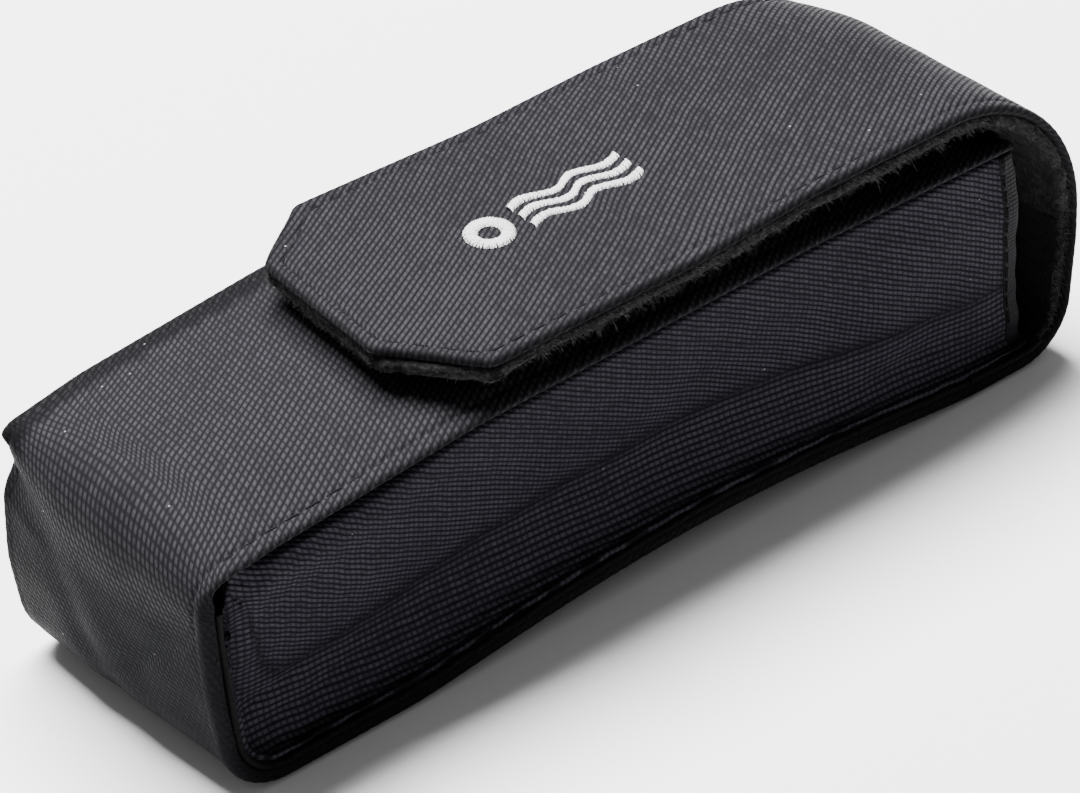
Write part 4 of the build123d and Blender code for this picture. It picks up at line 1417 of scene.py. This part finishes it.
# Emblem: a plain ring and three waves, in satin stitch -------------------------------------------
def satin(points_a, points_b, thick=0.36):
    """Threads laid side by side from points_a to points_b, each (s, y), on the lid."""
    ring, stations = 6, np.linspace(0, 1, 7)
    angle = np.linspace(0, 2 * np.pi, ring, endpoint=False)
    all_verts, all_faces, all_uv = [], [], []
    r = np.random.default_rng(41)
    for number, (a, b) in enumerate(zip(points_a, points_b)):
        a, b = np.asarray(a) + r.normal(0, 0.07, 2), np.asarray(b) + r.normal(0, 0.07, 2)
        line = a[None] * (1 - stations[:, None]) + b[None] * stations[:, None]
        puff = 0.5 * np.sqrt(np.clip(1 - (2 * stations - 1) ** 4, 0, 1)) + r.normal(0, 0.02)
        p = strip_point(line[:, 0], line[:, 1], 0.12 - puff)
        n = strip_point(line[:, 0], line[:, 1], -1.0) - strip_point(line[:, 0], line[:, 1], 0.0)
        t = np.gradient(p, axis=0)
        t /= np.linalg.norm(t, axis=1, keepdims=True)
        side = np.cross(t, n)
        round_it = np.cos(angle)[None, :, None] * side[:, None] + np.sin(angle)[None, :, None] * n[:, None]
        rings = p[:, None] + thick / 2 * round_it
        first = number * len(stations) * ring
        faces = grid_faces(len(stations), ring, first=first, wrap=True)
        all_verts.append(rings.reshape(-1, 3))
        all_faces.append(faces)
        length = np.linalg.norm(b - a)
        u = np.broadcast_to((stations * length)[:, None] + number * 0.4, (len(stations), ring))
        v = np.broadcast_to(angle[None] * thick / 2, u.shape)
        all_uv.append(np.stack([u, v], -1).reshape(-1, 2)[faces.ravel() - first])
    return all_verts, all_faces, all_uv


emblem_s = s_on_lid((emblem_low[0] + emblem_high[0]) / 2)
emblem_half = (emblem_high[0] - emblem_low[0]) / 2
ring_out, ring_in = 4.75, 2.1
ring_s = emblem_s + emblem_half - ring_out
a_points, b_points = [], []
for turn in np.arange(0, 2 * np.pi, 0.31 / ring_out):
    way = np.array([np.cos(turn), np.sin(turn)])
    a_points.append(np.array([ring_s, 0]) + way * ring_in)
    b_points.append(np.array([ring_s, 0]) + way * ring_out)
wave_start, wave_end = ring_s - ring_out - 2.4, emblem_s - emblem_half
for k in (-1, 0, 1):
    for s in np.arange(wave_start, wave_end, -0.31):
        middle = k * 3.3 + 1.0 * np.sin((wave_start - s) / (wave_start - wave_end) * 4 * np.pi)
        a_points.append(np.array([s, middle - 1.05]))
        b_points.append(np.array([s - 0.25, middle + 1.05]))
ev, ef, eu = satin(a_points, b_points)
emblem = mesh_from("emblem_embroidery", np.concatenate(ev), np.concatenate(ef), np.concatenate(eu))
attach(dressed(emblem, emblem_mat, "emblem_thread", "emblem"), "flap_lid")

# The strip of outer cloth is cut in one length, and each gusset in one piece; the riser piece's length along
# the strip ---------
riser_run = S_RISER_MIDDLE - S_BODY_END

# Stage, light and camera -------------------------------------------------------------------------
floor_mesh = bpy.data.meshes.new("floor")
REACH, FLOOR_Z = 3.0, -0.0004
floor_corners = [(x * REACH, y * REACH, FLOOR_Z) for x, y in ((-1, -1), (1, -1), (1, 1), (-1, 1))]
floor_mesh.from_pydata(floor_corners, [], [(0, 1, 2, 3)])
floor = bpy.data.objects.new("floor", floor_mesh)
bpy.context.scene.collection.objects.link(floor)
m = Shader("pale_floor")
shade = m.noise(m.place(), 3.0, 2.0)
pale = m.mix(shade, (0.92, 0.92, 0.92), (0.94, 0.94, 0.94))
floor_mesh.materials.append(m.finish(pale, 0.9, Specular_IOR_Level=0.1))

world = bpy.data.worlds.new("studio")
bpy.context.scene.world = world
world.use_nodes = True
world.node_tree.nodes["Background"].inputs[0].default_value = (1, 1, 1, 1)
world.node_tree.nodes["Background"].inputs[1].default_value = 0.25


def soft_light(name, place, aim, size, power):
    light = bpy.data.lights.new(name, "AREA")
    light.shape, light.size, light.size_y, light.energy = "RECTANGLE", size[0], size[1], power
    obj = bpy.data.objects.new(name, light)
    obj.location = place
    obj.rotation_mode = "QUATERNION"
    obj.rotation_quaternion = (Vector(aim) - Vector(place)).to_track_quat("-Z", "Y")
    bpy.context.scene.collection.objects.link(obj)


soft_light("key", (0.05, 0.42, 1.15), (0, 0, 0.03), (0.9, 0.6), 90)

camera = bpy.data.objects.new("camera", bpy.data.cameras.new("camera"))
bpy.context.scene.collection.objects.link(camera)
bpy.context.scene.camera = camera
camera.data.sensor_width = 36.0
camera.data.lens = 194.49
camera.data.shift_x, camera.data.shift_y = -0.01028, -0.00056
camera.data.clip_start, camera.data.clip_end = 0.02, 20.0
# The camera's angles in degrees, then its distance and the point it looks at in metres.
azimuth, elevation, roll = (math.radians(a) for a in (-39.07087, 35.14104, -2.74639))
distance, aim = 1.03452, Vector((-0.000324, 0, 0.022022))
ahead = -Vector(
    (math.sin(azimuth) * math.cos(elevation), -math.cos(azimuth) * math.cos(elevation), math.sin(elevation))
)
level = ahead.cross(Vector((0, 0, 1))).normalized()
right = level * math.cos(roll) + level.cross(ahead) * math.sin(roll)
up = right.cross(ahead)
camera.matrix_world = Matrix((right, up, -ahead)).transposed().to_4x4()
camera.matrix_world.translation = aim - ahead * distance
